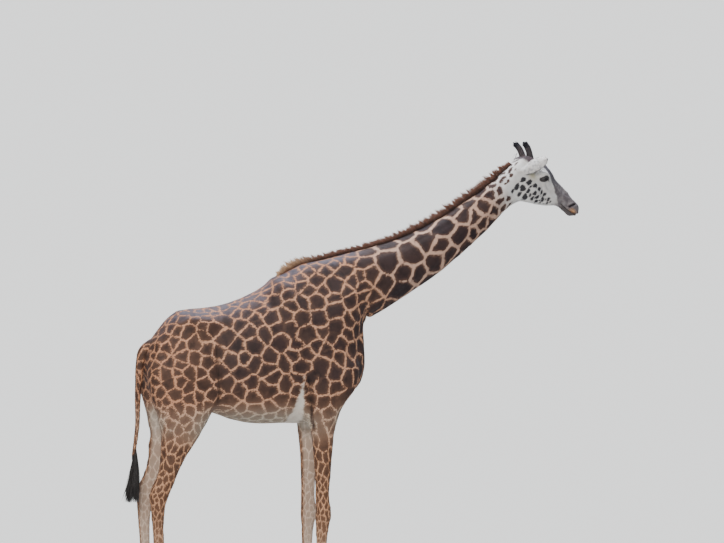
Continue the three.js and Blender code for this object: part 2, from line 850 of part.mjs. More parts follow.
function hangingBar(rows, sides) {
  const points = rows.map(([x, z]) => new THREE.Vector3(x, 0, z));
  return bar(
    points,
    rows.map((row) => row[2]),
    sides,
  );
}

// ---------------------------------------------------------------- the named pieces

const pieces = new THREE.Group();

function add(name, made, colour, roughness) {
  const geometry = made.isBufferGeometry ? made : geometryOf(made);
  const material = new THREE.MeshStandardMaterial({ color: colour, roughness, metalness: 0 });
  const mesh = new THREE.Mesh(geometry, material);
  mesh.name = name;
  pieces.add(mesh);
}

const SIDES = [["right", -1], ["left", 1]];

const trunk = makeTrunk();
const neck = makeNeck();
const head = makeHead();
add("trunk", trunk.piece, COLOURS.coat, 0.8);
add("neck", neck.piece, COLOURS.coat, 0.8);
add("head", head.piece, COLOURS.face, 0.8);

let rump = swollen(trunk.whole, SWELL);
for (const [sideName, side] of SIDES) {
  for (const kind of ["fore", "hind"]) {
    const leg = makeLeg(kind, side);
    if (kind === "hind") rump = rump.add(swollen(leg.wholeUpper, SWELL));
    add(`${kind}leg_upper_${sideName}`, leg.upper, COLOURS.coat, 0.8);
    add(`${kind}leg_lower_${sideName}`, leg.lower, COLOURS.coat, 0.8);
    const shift = legShift(kind, side);
    add(`hoof_${kind}_${sideName}_outer`, toe(kind, side, false, shift), COLOURS.hoof, 0.5);
    add(`hoof_${kind}_${sideName}_inner`, toe(kind, side, true, shift), COLOURS.hoof, 0.5);
  }
}

const skull = swollen(head.whole, SWELL);
for (const [sideName, side] of SIDES) {
  add(`eye_${sideName}`, eyeBall(side, EYE_RADIUS), COLOURS.eye, 0.15);
  add(`horn_${sideName}`, solid(horn(side)).subtract(skull), COLOURS.dark, 0.85);
  add(`ear_${sideName}`, solid(ear(side)).subtract(skull), COLOURS.ear, 0.85);
}

const topline = swollen(trunk.whole, SWELL)
  .subtract(ahead(NECK_CUT, LAP))
  .add(swollen(neck.whole, SWELL).intersect(ahead(NECK_CUT, -LAP)).subtract(ahead(HEAD_CUT, LAP)))
  .add(skull.intersect(ahead(HEAD_CUT, -LAP)));
add("mane", solid(mane()).subtract(topline), COLOURS.mane, 0.9);

const tail = solid(hangingBar(TAIL, 8)).subtract(rump);
add("tail", tail, COLOURS.coat, 0.85);
add("tail_tuft", solid(hangingBar(TUFT, 10)).subtract(swollen(tail, SWELL)), COLOURS.dark, 0.9);

// The origin is the middle of the bottom of the whole model's box.
const box = new THREE.Box3().setFromObject(pieces);
pieces.position.set(-(box.min.x + box.max.x) / 2, -(box.min.y + box.max.y) / 2, -box.min.z);

const giraffe = new THREE.Group();
giraffe.add(pieces);

export default giraffe;
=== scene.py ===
"""An adult Masai giraffe standing still: one skin over the CAD's flesh, and the hair on it.

Lengths are in metres in the row frame (X forward, Y to the animal's left, Z up), except that
head places are in millimetres along the head, to its left, and up square to it.
"""

import math

import bmesh
import bpy
import numpy as np
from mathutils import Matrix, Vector, kdtree, noise
from mathutils.bvhtree import BVHTree


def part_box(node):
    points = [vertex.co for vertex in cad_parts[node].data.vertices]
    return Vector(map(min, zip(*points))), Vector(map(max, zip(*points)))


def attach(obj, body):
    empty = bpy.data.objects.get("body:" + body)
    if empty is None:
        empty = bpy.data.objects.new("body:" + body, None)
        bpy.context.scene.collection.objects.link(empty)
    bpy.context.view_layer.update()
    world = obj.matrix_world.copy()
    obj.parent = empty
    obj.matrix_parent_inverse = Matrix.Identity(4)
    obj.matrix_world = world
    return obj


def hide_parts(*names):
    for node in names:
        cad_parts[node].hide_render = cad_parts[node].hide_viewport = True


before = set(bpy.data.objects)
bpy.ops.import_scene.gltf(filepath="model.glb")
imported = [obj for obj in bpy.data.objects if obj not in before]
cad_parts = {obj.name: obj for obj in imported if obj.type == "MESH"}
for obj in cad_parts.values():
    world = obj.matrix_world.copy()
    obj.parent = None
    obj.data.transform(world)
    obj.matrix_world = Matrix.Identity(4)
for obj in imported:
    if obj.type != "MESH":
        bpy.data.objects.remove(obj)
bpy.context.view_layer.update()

# ---------------------------------------------------------------- driving dimensions

MM = 0.001
SEED = 20
SEED_TRIES = 40000

PHOTO_WIDTH = 724
FOCAL_PIXELS = 4000
SENSOR = 36.0
CAMERA_DISTANCE = 32.0
CAMERA_AZIMUTH = math.radians(-16)
CAMERA_TARGET = Vector((0.0041, -0.0653, 2.916))

FLESH = ["trunk", "neck", "head"] + [
    f"{end}leg_{part}_{side}"
    for end in ("fore", "hind")
    for part in ("upper", "lower")
    for side in ("right", "left")
]
SKIN_VOXEL = 0.0165
LEG_FINE_BELOW = 1.15
COAT_DEPTH = 0.004

MIDDLE = -0.0653  # the animal's mid-plane
NECK_BASE = np.array([0.0141, MIDDLE, 2.800])
NECK_PITCH = math.radians(32)
HEAD_ORIGIN = np.array([1.4391, 0.1677, 3.745])
HEAD_YAW = math.radians(14)
HEAD_PITCH = math.radians(-36.5)
HEAD_REACH = 0.8  # no part of the head is further from its origin
NECK_DRIFT, NECK_TURNS_AT = 0.07, -0.386  # how the neck's middle leaves the mid-plane
SIDES = ((-1, "right"), (1, "left"))

# ---------------------------------------------------------------- camera

camera_data = bpy.data.cameras.new("camera")
camera_data.sensor_width = SENSOR
camera_data.lens = FOCAL_PIXELS / PHOTO_WIDTH * SENSOR
camera_data.clip_end = 200
camera = bpy.data.objects.new("camera", camera_data)
bpy.context.scene.collection.objects.link(camera)
camera.rotation_euler = (math.radians(90), 0, CAMERA_AZIMUTH)
looking = Vector((-math.sin(CAMERA_AZIMUTH), math.cos(CAMERA_AZIMUTH), 0))
camera.location = CAMERA_TARGET - looking * CAMERA_DISTANCE
bpy.context.scene.camera = camera


# ---------------------------------------------------------------- small tools


def ramp(value, low, high):
    """0 below low, 1 above high, smooth between; low may be the larger."""
    t = np.clip((value - low) / (high - low), 0, 1)
    return t * t * (3 - 2 * t)


def bump(value, middle, width):
    return np.exp(-(((value - middle) / width) ** 2))


def unit(v):
    return v / np.maximum(np.linalg.norm(v, axis=-1, keepdims=True), 1e-9)


def head_axes():
    c, s = math.cos(HEAD_YAW), math.sin(HEAD_YAW)
    along = np.array([c * math.cos(HEAD_PITCH), s * math.cos(HEAD_PITCH), math.sin(HEAD_PITCH)])
    left = np.array([-s, c, 0])
    return np.array([along, left, np.cross(along, left)])


HEAD_AXES = head_axes()


def to_head(points):
    """Row frame metres to head millimetres."""
    return (points - HEAD_ORIGIN) @ HEAD_AXES.T / MM


def from_head(points):
    return np.asarray(points, float) * MM @ HEAD_AXES + HEAD_ORIGIN


def near_head(points):
    return np.linalg.norm(points - HEAD_ORIGIN, axis=1) < HEAD_REACH


def neck_middle(x):
    """How far the neck's middle is to the left of the mid-plane."""
    return NECK_DRIFT * np.clip(x - NECK_TURNS_AT, 0, None) ** 2


def to_neck(points):
    """How far along the neck's axis, and how far above it, in metres."""
    d = points - NECK_BASE
    c, s = math.cos(NECK_PITCH), math.sin(NECK_PITCH)
    return d[:, 0] * c + d[:, 2] * s, d[:, 2] * c - d[:, 0] * s


def new_object(name, mesh):
    o = bpy.data.objects.new(name, mesh)
    bpy.context.scene.collection.objects.link(o)
    return o


def joined_nodes(names):
    b = bmesh.new()
    for name in names:
        b.from_mesh(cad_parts[name].data)
    mesh = bpy.data.meshes.new("joined")
    b.to_mesh(mesh)
    b.free()
    return mesh


def evaluated(o):
    """The object's mesh with its modifiers applied. The object is removed."""
    graph = bpy.context.evaluated_depsgraph_get()
    mesh = bpy.data.meshes.new_from_object(o.evaluated_get(graph))
    bpy.data.objects.remove(o)
    return mesh


def remeshed(mesh, voxel):
    o = new_object("remeshing", mesh)
    m = o.modifiers.new("voxels", "REMESH")
    m.mode = "VOXEL"
    m.voxel_size = voxel
    m.adaptivity = 0
    return evaluated(o)


def read(items, key, width=1, kind=np.float32):
    """A property of all the items, in rows where it has more than one number."""
    out = np.empty(len(items) * width, kind)
    items.foreach_get(key, out)
    return out.reshape(-1, width) if width > 1 else out


def places(mesh):
    return read(mesh.vertices, "co", 3).astype(float)


def normals(mesh):
    return read(mesh.vertices, "normal", 3).astype(float)


def neighbours(mesh):
    """The mesh's edges, and how many of them meet at each vertex."""
    edges = read(mesh.edges, "vertices", 2, np.int32)
    return edges, np.maximum(np.bincount(edges.ravel(), minlength=len(mesh.vertices)), 1)


def shade_smooth(mesh):
    mesh.polygons.foreach_set("use_smooth", np.ones(len(mesh.polygons), bool))


def put_places(mesh, co):
    mesh.vertices.foreach_set("co", co.astype(np.float32).ravel())
    mesh.update()


def averaged(values, edges, degree):
    """The mean of each vertex's neighbours."""
    count = len(values)
    a, b = edges[:, 0], edges[:, 1]
    out = np.empty_like(values)
    for k in range(values.shape[1]):
        total = np.bincount(a, values[b, k], count) + np.bincount(b, values[a, k], count)
        out[:, k] = total / degree
    return out


def smoothed(mesh, co, rounds, weight=None):
    """Taubin's smoothing, which takes facets away without shrinking the shape."""
    linked = neighbours(mesh)
    w = 1.0 if weight is None else weight[:, None]
    for _ in range(rounds):
        co = co + 0.5 * w * (averaged(co, *linked) - co)
        co = co - 0.52 * w * (averaged(co, *linked) - co)
    return co


def tube(path, radii, sides, squash=1.0):
    """A closed tube through the path's points, as (points, faces)."""
    path = np.asarray(path, float)
    ahead = unit(np.gradient(path, axis=0))
    across = np.cross(ahead[0], [0.0, 0.0, 1.0])
    if np.linalg.norm(across) < 0.2:
        across = np.cross(ahead[0], [0.0, 1.0, 0.0])
    turn = 2 * math.pi * np.arange(sides) / sides
    points, faces = [path[0]], []
    for centre, forward, radius in zip(path, ahead, radii):
        across = unit(across - forward * (across @ forward))
        up = np.cross(forward, across)
        ring = np.outer(np.cos(turn), across) + squash * np.outer(np.sin(turn), up)
        points.extend(centre + radius * ring)
    points.append(path[-1])
    for j in range(sides):
        k = (j + 1) % sides
        faces.append((0, 1 + k, 1 + j))
        for i in range(len(path) - 1):
            a = 1 + i * sides
            faces.append((a + j, a + k, a + sides + k, a + sides + j))
        last = 1 + (len(path) - 1) * sides
        faces.append((len(points) - 1, last + j, last + k))
    return np.array(points), faces


def mesh_of(name, points, faces):
    mesh = bpy.data.meshes.new(name)
    mesh.from_pydata([tuple(p) for p in points], [], faces)
    mesh.validate()
    b = bmesh.new()
    b.from_mesh(mesh)
    bmesh.ops.recalc_face_normals(b, faces=b.faces)
    b.to_mesh(mesh)
    b.free()
    return mesh


def curve(rows, count):
    """count rows along a smooth curve through the rows."""
    rows = np.asarray(rows, float)
    steps = np.linalg.norm(np.diff(rows[:, :3], axis=0), axis=1)
    t = np.concatenate([[0], np.cumsum(steps)])
    slopes = np.gradient(rows, t, axis=0)
    at = np.linspace(0, t[-1], count)
    i = np.clip(np.searchsorted(t, at, "right") - 1, 0, len(t) - 2)
    h = (t[i + 1] - t[i])[:, None]
    f = (at - t[i])[:, None] / h
    a, b, c, d = rows[i], rows[i + 1], slopes[i] * h, slopes[i + 1] * h
    f2, f3 = f * f, f * f * f
    return a * (2 * f3 - 3 * f2 + 1) + b * (3 * f2 - 2 * f3) + c * (f3 - 2 * f2 + f) + d * (f3 - f2)


# Ears, in head mm, the left one where a number has no side: the root in the skull, the tips, the
# way the hollow faces, and the leaf's half width from root to tip.
EAR_ROOT = np.array([-58.0, 96.0, -52.0])
EAR_TIP = {-1: np.array([16.0, -214.0, 130.0]), 1: np.array([-44.0, 222.0, 134.0])}
EAR_FACE = np.array([0.72, -0.6, 0.12])
EAR_WIDTH = 116
EAR_THICKNESS = 9
EAR_CUP = 34
EAR_TIP_CURL = 12
EAR_LEAF = [
    [-0.2, 0, 0.12, 0.3, 0.45, 0.6, 0.75, 0.86, 0.94, 0.98, 1],
    [0.42, 0.52, 0.72, 0.93, 1, 0.98, 0.86, 0.68, 0.45, 0.26, 0.06],
]


def ear_frame(side):
    """An ear's root, the way to its tip, the way it faces and the way across it."""
    root = EAR_ROOT * [1, side, 1]
    along = EAR_TIP[side] - root
    axis = unit(along)
    face = EAR_FACE * [1, side, 1]
    face = unit(face - axis * (face @ axis))
    return root, along, face, np.cross(axis, face)


def ear_half(v):
    return EAR_WIDTH / 2 * np.interp(v, *EAR_LEAF)


def ear_sheet(v, q):
    """How far the ear's sheet stands forward; v runs to the tip, q from the middle to an edge."""
    return EAR_CUP * (1 - 0.6 * np.clip(v, 0, 1)) * q * q + EAR_TIP_CURL * v * v


def ear_points(side, v, q, offset):
    """Places on the ear in head millimetres, offset half its thickness to one side."""
    root, along, face, across = ear_frame(side)
    thick = EAR_THICKNESS * (1 - 0.5 * v) * (1 - 0.75 * q * q)
    out = ear_sheet(v, q) + offset * thick
    return root + np.outer(v, along) + np.outer(ear_half(v) * q, across) + np.outer(out, face)


def ear_mesh(side):
    """The ear as a closed leaf, its root sunk in the skull."""
    lengths, widths = 40, 14
    q_front = np.cos(np.linspace(0, math.pi, widths))
    q = np.concatenate([q_front, q_front[-2:0:-1]])
    offset = np.concatenate([np.full(widths, 0.5), np.full(widths - 2, -0.5)])
    points, faces = [], []
    levels = np.linspace(-0.16, 1, lengths)
    n = len(q)
    for v in levels:
        points.extend(from_head(ear_points(side, np.full(n, v), q, offset)))
    points = np.array(points)
    for i in range(lengths - 1):
        for j in range(n):
            k = (j + 1) % n
            faces.append((i * n + j, i * n + k, i * n + n + k, i * n + n + j))
    first, last = points[:n].mean(0), points[-n:].mean(0)
    points = np.vstack([points, first, last])
    for j in range(n):
        k = (j + 1) % n
        faces.append((len(points) - 2, k, j))
        faces.append((len(points) - 1, len(points) - 2 - n + j, len(points) - 2 - n + k))
    return mesh_of(f"ear{side}", points, faces)


TAIL_RINGS, TAIL_SIDES = 58, 16
# The tail's stalk: X, Y, Z and radius.
TAIL = [
    [-1.60, MIDDLE, 2.40, 0.040],
    [-1.716, MIDDLE, 2.345, 0.042],
    [-1.784, MIDDLE, 2.290, 0.041],
    [-1.814, MIDDLE, 2.180, 0.034],
    [-1.826, MIDDLE, 2.040, 0.027],
    [-1.833, MIDDLE, 1.900, 0.0215],
    [-1.837, MIDDLE, 1.700, 0.0165],
    [-1.854, MIDDLE, 1.560, 0.014],
    [-1.868, MIDDLE, 1.470, 0.012],
]


def united(mesh, others):
    """The union of the mesh with the others."""
    o = new_object("uniting", mesh)
    added = []
    for other in others:
        p = new_object("added", other)
        added.append(p)
        m = o.modifiers.new("union", "BOOLEAN")
        m.operation = "UNION"
        m.solver = "MANIFOLD"
        m.object = p
    made = evaluated(o)
    for p in added:
        bpy.data.objects.remove(p)
    return made


def refined(mesh, wanted):
    """The mesh with each edge that wanted(middles) picks cut in two."""
    b = bmesh.new()
    b.from_mesh(mesh)
    b.edges.ensure_lookup_table()
    middles = np.array([(e.verts[0].co + e.verts[1].co) / 2 for e in b.edges])
    picked = wanted(middles)
    bmesh.ops.subdivide_edges(
        b,
        edges=[e for e, p in zip(b.edges, picked) if p],
        cuts=1,
        use_grid_fill=True,
    )
    b.to_mesh(mesh)
    b.free()
    return mesh


HEAD_FROM, MUZZLE_FROM = -90, 398  # along the head, in mm
EYE_MIDDLE = [156, 92, 22]  # of the finer mesh around an eye, and how far that reaches
EYE_ROOM = [62, 40, 58]


def on_head(points):
    return near_head(points) & (to_head(points)[:, 0] > HEAD_FROM)


def on_face(points):
    local = to_head(points)
    local[:, 1] = abs(local[:, 1])
    eye = np.all(abs(local - EYE_MIDDLE) < EYE_ROOM, axis=1)
    return near_head(points) & (eye | (local[:, 0] > MUZZLE_FROM))


# ---------------------------------------------------------------- the skin's shape

SKIN_ROUNDS = 60  # of smoothing, enough to take away facets a hand's width across
FINE_ROUNDS, JOINT_ROUNDS = 4, 8
SWELL, SWELL_SCALE = 3.0, 6.0  # a slow unevenness of the whole skin: mm, and waves in a metre

# The mouth from its front to its corner and the nostril, in head mm, left side.
MOUTH = [
    [641, 0, 13], [630, 24, 8], [606, 42, 0], [560, 46, -14], [512, 42, -21], [465, 40, -20],
    [436, 42, -18],
]
NOSTRIL = [[513, 52, 8], [520, 54, 22], [530, 53, 40], [543, 48, 57]]

# Forms of the head, mirrored: [height mm (negative is a groove), radius mm, places].
HEAD_FORMS = [
    [-11, 4.2, MOUTH],
    [-3, 5, [[436, 42, -18], [424, 44, -26], [417, 44, -36]]],  # its corner
    [4.5, 9, [[634, 16, 26], [606, 44, 16], [560, 54, 2], [505, 50, -6], [455, 48, -6]]],
    [3.5, 8, [[622, 16, -6], [596, 36, -14], [555, 38, -26], [505, 34, -32]]],  # lower lip
    [6, 20, [[575, 0, -30], [545, 0, -38]]],  # chin
    [-16, 5.5, NOSTRIL],
    [5.5, 8, [[530, 52, 2], [541, 54, 22], [553, 52, 42], [562, 42, 60]]],  # its rim
    [4, 8, [[498, 52, 12], [506, 54, 32], [518, 52, 52]]],
    [7, 14, [[106, 92, 50], [140, 98, 62], [182, 92, 58]]],  # brow
    [5, 13, [[192, 88, -20], [250, 72, -24], [335, 56, -26]]],  # facial crest
    [-4, 6, [[196, 84, 8], [218, 78, -4], [242, 73, -16]]],  # tear line
    [8, 60, [[80, 92, -110], [110, 90, -90]]],  # masseter
    [-8, 18, [[200, 80, -46], [212, 74, -90], [202, 66, -140]]],
    [5, 12, [[40, 66, -222], [120, 60, -214], [200, 52, -180], [290, 42, -132], [360, 36, -96]]],
    [-5, 14, [[120, 74, -178], [220, 60, -138], [310, 48, -96]]],
    [4, 11, [[230, 12, 126], [330, 10, 118], [450, 9, 106]]],  # nasal bones
    [-6, 14, [[230, 50, 90], [330, 42, 80], [450, 38, 70]]],
    [3, 12, [[250, 66, 50], [350, 52, 50], [440, 48, 48]]],
    [12, 32, [[108, 0, 138], [140, 0, 138]]],  # the bump of the forehead
    [7, 26, [[-22, 51, 80], [-40, 55, 76]]],  # horn bases
    [-10, 24, [[58, 94, 24], [84, 96, 14]]],  # temple
    [8, 22, [[-64, 88, -60], [-40, 96, -40]]],  # ear base
    [-2.5, 4, [[462, 50, 4], [444, 50, -2], [430, 50, -10]]],
    [-2, 3.6, [[452, 44, -26], [436, 46, -32], [426, 46, -40]]],
    [-2, 5, [[560, 46, 4], [556, 50, -4], [552, 48, -12]]],
    [-2, 5, [[590, 42, 14], [588, 44, 4], [585, 42, -4]]],
    [-3, 6, [[300, 58, 10], [360, 50, 10], [430, 50, 14]]],
    [-3, 9, [[470, 50, 40], [488, 50, 20], [500, 50, -2]]],
]

# Deep folds of the body's sides, also darkened with painted shade, as places X, from the middle, Z.
FOLDS = [
    [[-1.255, 0.28, 2.30], [-1.25, 0.28, 2.16], [-1.235, 0.27, 2.02], [-1.225, 0.25, 1.90]],  # flank
    [[-0.50, 0.26, 2.06], [-0.485, 0.24, 1.92], [-0.475, 0.22, 1.76], [-0.46, 0.20, 1.68]],  # elbow
    [[0.075, 0.02, 2.50], [0.065, 0.10, 2.52], [0.03, 0.17, 2.58]],  # throat
]
FOLD_DEPTH, FOLD_RADIUS = -25, 17
FOLD_SHADE_WIDTH = 0.012

# Forms of the body and legs, mirrored: [height mm, radius mm, places X, from the middle, Z].
BODY_FORMS = [
    [15, 60, [[-0.72, 0.10, 2.86], [-0.58, 0.20, 2.62], [-0.36, 0.25, 2.34], [-0.16, 0.24, 2.16]]],
    [-13, 40, [[-0.82, 0.16, 2.72], [-0.74, 0.24, 2.46], [-0.66, 0.29, 2.20], [-0.62, 0.29, 1.98]]],
    [14, 70, [[-0.16, 0.22, 2.12], [-0.12, 0.22, 2.02]]],  # point of the shoulder
    [-9, 24, [[-0.52, 0.26, 2.10], [-0.505, 0.25, 1.96], [-0.49, 0.23, 1.84]]],
    [8, 55, [[-0.42, 0.24, 1.86], [-0.45, 0.22, 1.78]]],  # the elbow
    [-11, 22, [[-0.26, 0.25, 2.02], [-0.30, 0.25, 1.86], [-0.31, 0.24, 1.70]]],
    [-13, 24, [[0.05, 0.15, 2.52], [-0.02, 0.20, 2.38], [-0.04, 0.22, 2.22]]],
    [20, 50, [[-1.40, 0.17, 2.50], [-1.34, 0.22, 2.44]]],  # hip bone
    [-15, 32, [[-1.44, 0.21, 2.40], [-1.39, 0.25, 2.34]]],
    [9, 60, [[-1.72, 0.12, 2.36], [-1.76, 0.12, 2.28]]],  # seat bone
    [-18, 60, [[-1.20, 0.26, 2.44], [-1.14, 0.28, 2.30]]],  # flank
    [8, 60, [[-1.30, 0.26, 2.00], [-1.32, 0.26, 1.90]]],  # stifle
    [-10, 30, [[-1.66, 0.20, 2.26], [-1.62, 0.24, 2.05], [-1.62, 0.22, 1.85], [-1.66, 0.20, 1.62]]],
    [-7, 26, [[-1.62, 0.24, 1.66], [-1.68, 0.22, 1.50], [-1.72, 0.20, 1.36]]],
    [7, 40, [[-1.50, 0.25, 1.70], [-1.55, 0.24, 1.55], [-1.62, 0.22, 1.40]]],
    [-5, 20, [[-0.40, 0.21, 1.56], [-0.40, 0.21, 1.36], [-0.40, 0.20, 1.20]]],
    [6, 34, [[-0.34, 0.22, 1.56], [-0.36, 0.21, 1.30]]],
    [5, 20, [[-0.345, 0.19, 1.04], [-0.345, 0.19, 0.96]]],  # knee
    [-4, 11, [[-0.372, 0.235, 0.85], [-0.374, 0.230, 0.60], [-0.384, 0.228, 0.36]]],
    [4, 12, [[-0.418, 0.20, 0.85], [-0.418, 0.20, 0.60], [-0.424, 0.20, 0.36]]],
    [5, 22, [[-1.70, 0.20, 1.10], [-1.715, 0.20, 0.98]]],
    [-4, 11, [[-1.70, 0.235, 0.85], [-1.70, 0.230, 0.60], [-1.675, 0.228, 0.36]]],
    [-5, 14, [[-1.72, 0.235, 1.22], [-1.70, 0.24, 1.34]]],
]
RIBS = 9
RIB_FRONT, RIB_STEP, RIB_SLANT, RIB_HEIGHT = -0.60, -0.062, 0.16, 2.6
# The neck's lower and upper edges, as along and above its axis in metres, as in the CAD.
THROAT = [[0, 0.51, 0.885, 1.232, 1.458, 1.64], [-0.262, -0.264, -0.234, -0.181, -0.141, -0.15]]
NAPE = [[-0.14, 0.186, 0.511, 0.885, 1.232, 1.64], [0.352, 0.247, 0.156, 0.117, 0.112, 0.15]]

EYE_RADIUS = 0.026
EYE_OUT = np.array([0.22, 1.0, 0.06])  # the way an eye looks, in head axes, left one
EYE_OPEN = (23.5, 14.5, 13.0)  # half length, rise and drop of the opening
EYE_TILT = math.radians(33)
EYE_CURVE = 1.7  # the power of the opening's outline, where 2 would be an ellipse
EYE_HOLLOW = 5  # how far the skin lies inside the ball within the opening, in mm
LID_STAND, LID_RIM = 3.6, 2.0  # how far the lids stand off the ball, and their rim's rise, in mm
# The folds above and below the lids: the side, where in opening()'s measure, and height in mm.
LID_FOLDS = ((1, 3.4, -2.2), (-1, 3.0, -1.5))


def eye_frame(side):
    """The eye's centre, and its axes: along the head, up and out."""
    low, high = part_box("eye_left" if side > 0 else "eye_right")
    out = unit((EYE_OUT * [1, side, 1]) @ HEAD_AXES)
    along = unit(HEAD_AXES[0] - out * (HEAD_AXES[0] @ out))
    up = unit(HEAD_AXES[2] - out * (HEAD_AXES[2] @ out) - along * (HEAD_AXES[2] @ along))
    c, s = math.cos(EYE_TILT), math.sin(EYE_TILT)
    along, up = c * along + s * up, c * up - s * along
    return np.array((low + high) / 2), np.array([along, up, out])


def lid_reach(h, above):
    """How far an eye's opening reaches up, or down, at h along it."""
    return np.where(above, EYE_OPEN[1] * (1 + 0.012 * h), EYE_OPEN[2] * (1 - 0.006 * h))


def opening(h, v):
    """1 on the edge of an eye's opening, less inside; h along and v up, in millimetres."""
    h = np.clip(h, -60, 60)
    return (abs(h) / EYE_OPEN[0]) ** EYE_CURVE + (abs(v) / lid_reach(h, v > 0)) ** EYE_CURVE


def from_polyline(points, line):
    """Distance of each point from a polyline."""
    best = np.full(len(points), 1e9)
    for a, b in zip(line[:-1], line[1:]):
        d = b - a
        t = np.clip((points - a) @ d / (d @ d), 0, 1)
        best = np.minimum(best, np.linalg.norm(points - a - t[:, None] * d, axis=1))
    return best


def add_forms(co, rise, tree, forms, to_row, weight=1.0):
    """Adds each form's height to rise, along its line laid on the skin, on both sides."""
    for height, radius, line in forms:
        line = curve(np.array(line, float), 5 * len(line))
        middle = np.all(abs(line[:, 1]) < 1e-6)
        for side in (-1,) if middle else (-1, 1):
            laid = to_row(line * [1, side, 1])
            laid = np.array([tree.find_nearest(Vector(p))[0] for p in laid])
            reach = 2.6 * radius * MM
            low, high = laid.min(0) - reach, laid.max(0) + reach
            near = np.all((co > low) & (co < high), axis=1).nonzero()[0]
            if len(near):
                d = from_polyline(co[near], laid) / (radius * MM)
                rise[near] += weight * height * np.exp(-(d**2))


def noise_at(points, scale, shift=0.0):
    shift = Vector(np.broadcast_to(shift, 3))
    return np.array([noise.noise(Vector(p) * scale + shift) for p in points])


def shape_eyes(co):
    """Opens the eyes: sinks the skin behind each opening and raises the lids around it."""
    for side in (-1, 1):
        centre, axes = eye_frame(side)
        local = (co - centre) @ axes.T / MM
        near = (np.linalg.norm(local, axis=1) < 75).nonzero()[0]
        p = local[near]
        r = np.linalg.norm(p, axis=1)
        edge = opening(p[:, 0], p[:, 1])
        ball = EYE_RADIUS / MM
        front = ramp(p[:, 2], -4, 8)
        lid = ball + LID_STAND + LID_RIM * bump(edge, 1.9, 0.7)
        hug = front * (1 - ramp(edge, 1.4, 6.5))
        r_new = r + (lid - r) * hug
        inside = (edge < 1.0) & (p[:, 2] > 0)
        r_new = np.where(inside, ball - EYE_HOLLOW, r_new)
        fold = np.zeros(len(p))
        for way, at, height in LID_FOLDS:
            fold += height * bump(edge, at, 0.5) * (way * p[:, 1] > 4) * front
        p = p * ((r_new + fold) / r)[:, None]
        co[near] = p * MM @ axes + centre


def shape_skin(mesh):
    """Gives the smooth skin its muscles, folds, ribs and face, and sinks it by the coat."""
    co, n = places(mesh), normals(mesh)
    rise = np.zeros(len(co))
    tree = BVHTree.FromPolygons([tuple(p) for p in co], [tuple(p.vertices) for p in mesh.polygons])
    add_forms(co, rise, tree, HEAD_FORMS, from_head)
    folds = [(FOLD_DEPTH, FOLD_RADIUS, line) for line in FOLDS]
    add_forms(co, rise, tree, BODY_FORMS + folds, lambda p: p + [0, MIDDLE, 0])
    x, z = co[:, 0], co[:, 2]
    along = (x - RIB_FRONT - RIB_SLANT * (z - 2.2)) / RIB_STEP
    where = ramp(along, -0.4, 0.6) * (1 - ramp(along, RIBS - 1, RIBS)) * ramp(z, 1.82, 2.02)
    where *= 1 - ramp(z, 2.42, 2.6)
    rise += RIB_HEIGHT * where * np.cos(2 * math.pi * along)
    # the neck's throat groove, nape groove and windpipe
    u, w = to_neck(co)
    necks = ramp(u, 0.0, 0.25) * (1 - ramp(u, 1.45, 1.6)) * (z > 2.2)
    side = abs(co[:, 1] - MIDDLE - neck_middle(x))
    for height, edge, above, wide, clear in (
        (-7, THROAT, 0.065, 0.022, (0.02, 0.05)),
        (-5, NAPE, -0.075, 0.022, (0.02, 0.05)),
        (3.5, THROAT, 0.125, 0.03, (0.03, 0.06)),
    ):
        rise += height * necks * bump(w - np.interp(u, *edge), above, wide) * ramp(side, *clear)
    head = near_head(co)
    rise += SWELL * noise_at(co, SWELL_SCALE) * np.where(head, 0.3, 1.0) * ramp(z, 1.1, 1.7)
    sink = COAT_DEPTH / MM * np.where(head, 0.5, 1.0)
    co = co + n * ((rise - sink) * MM)[:, None]
    shape_eyes(co)
    put_places(mesh, co)


raw = remeshed(joined_nodes(FLESH), SKIN_VOXEL)
put_places(raw, smoothed(raw, places(raw), SKIN_ROUNDS))
raw = refined(raw, lambda p: (p[:, 2] < LEG_FINE_BELOW) | on_head(p))
raw = refined(raw, on_face)
put_places(raw, smoothed(raw, places(raw), FINE_ROUNDS))
shape_skin(raw)
tail_rows = curve(TAIL, TAIL_RINGS)
tail = mesh_of("tail", *tube(tail_rows[:, :3], tail_rows[:, 3], TAIL_SIDES))
raw = united(raw, [tail, ear_mesh(-1), ear_mesh(1)])


TAIL_ROOT = np.array([-1.70, MIDDLE, 2.35])


def blend_joints(mesh):
    """Softens the skin where the tail and the ears grow out of it."""
    co = places(mesh)
    weight = 1 - ramp(np.linalg.norm(co - TAIL_ROOT, axis=1), 0.07, 0.13)
    for side in (-1, 1):
        root = from_head(EAR_ROOT * [1, side, 1])
        weight = np.maximum(weight, 1 - ramp(np.linalg.norm(co - root, axis=1), 0.045, 0.075))
    put_places(mesh, smoothed(mesh, co, JOINT_ROUNDS, weight))


blend_joints(raw)
skin = new_object("skin", raw)
raw.name = "skin"
shade_smooth(raw)
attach(skin, "root")
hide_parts(*FLESH, "tail", "ear_left", "ear_right")

# ---------------------------------------------------------------- markings


def body_places(points):
    """What the colours and the coat depend on, at each point."""
    x, y, z = points.T
    u, w = to_neck(points)
    head = to_head(points)
    near = near_head(points)
    on = ramp(u, -0.02, 0.30) * ramp(z, 2.35, 2.6)
    return {
        "x": x,
        "z": z,
        "side": y - MIDDLE,
        "u": u,
        "w": w,
        "neck": on,
        "head": np.where(near, ramp(head[:, 0], -110, -40) * ramp(head[:, 2], -300, -240), 0.0),
        "crown": near * ramp(head[:, 0], -175, -120) * (1 - ramp(head[:, 0], 25, 75))
        * ramp(head[:, 2] + 0.35 * np.minimum(head[:, 0], 0), 6, 34) * (abs(head[:, 1]) < 106),
        "s": head[:, 0],
        "l": head[:, 1],
        "t": head[:, 2],
        "hind": ramp(x, -1.0, -1.2),
        "leg": 1 - ramp(z, 1.5, 1.85),
    }


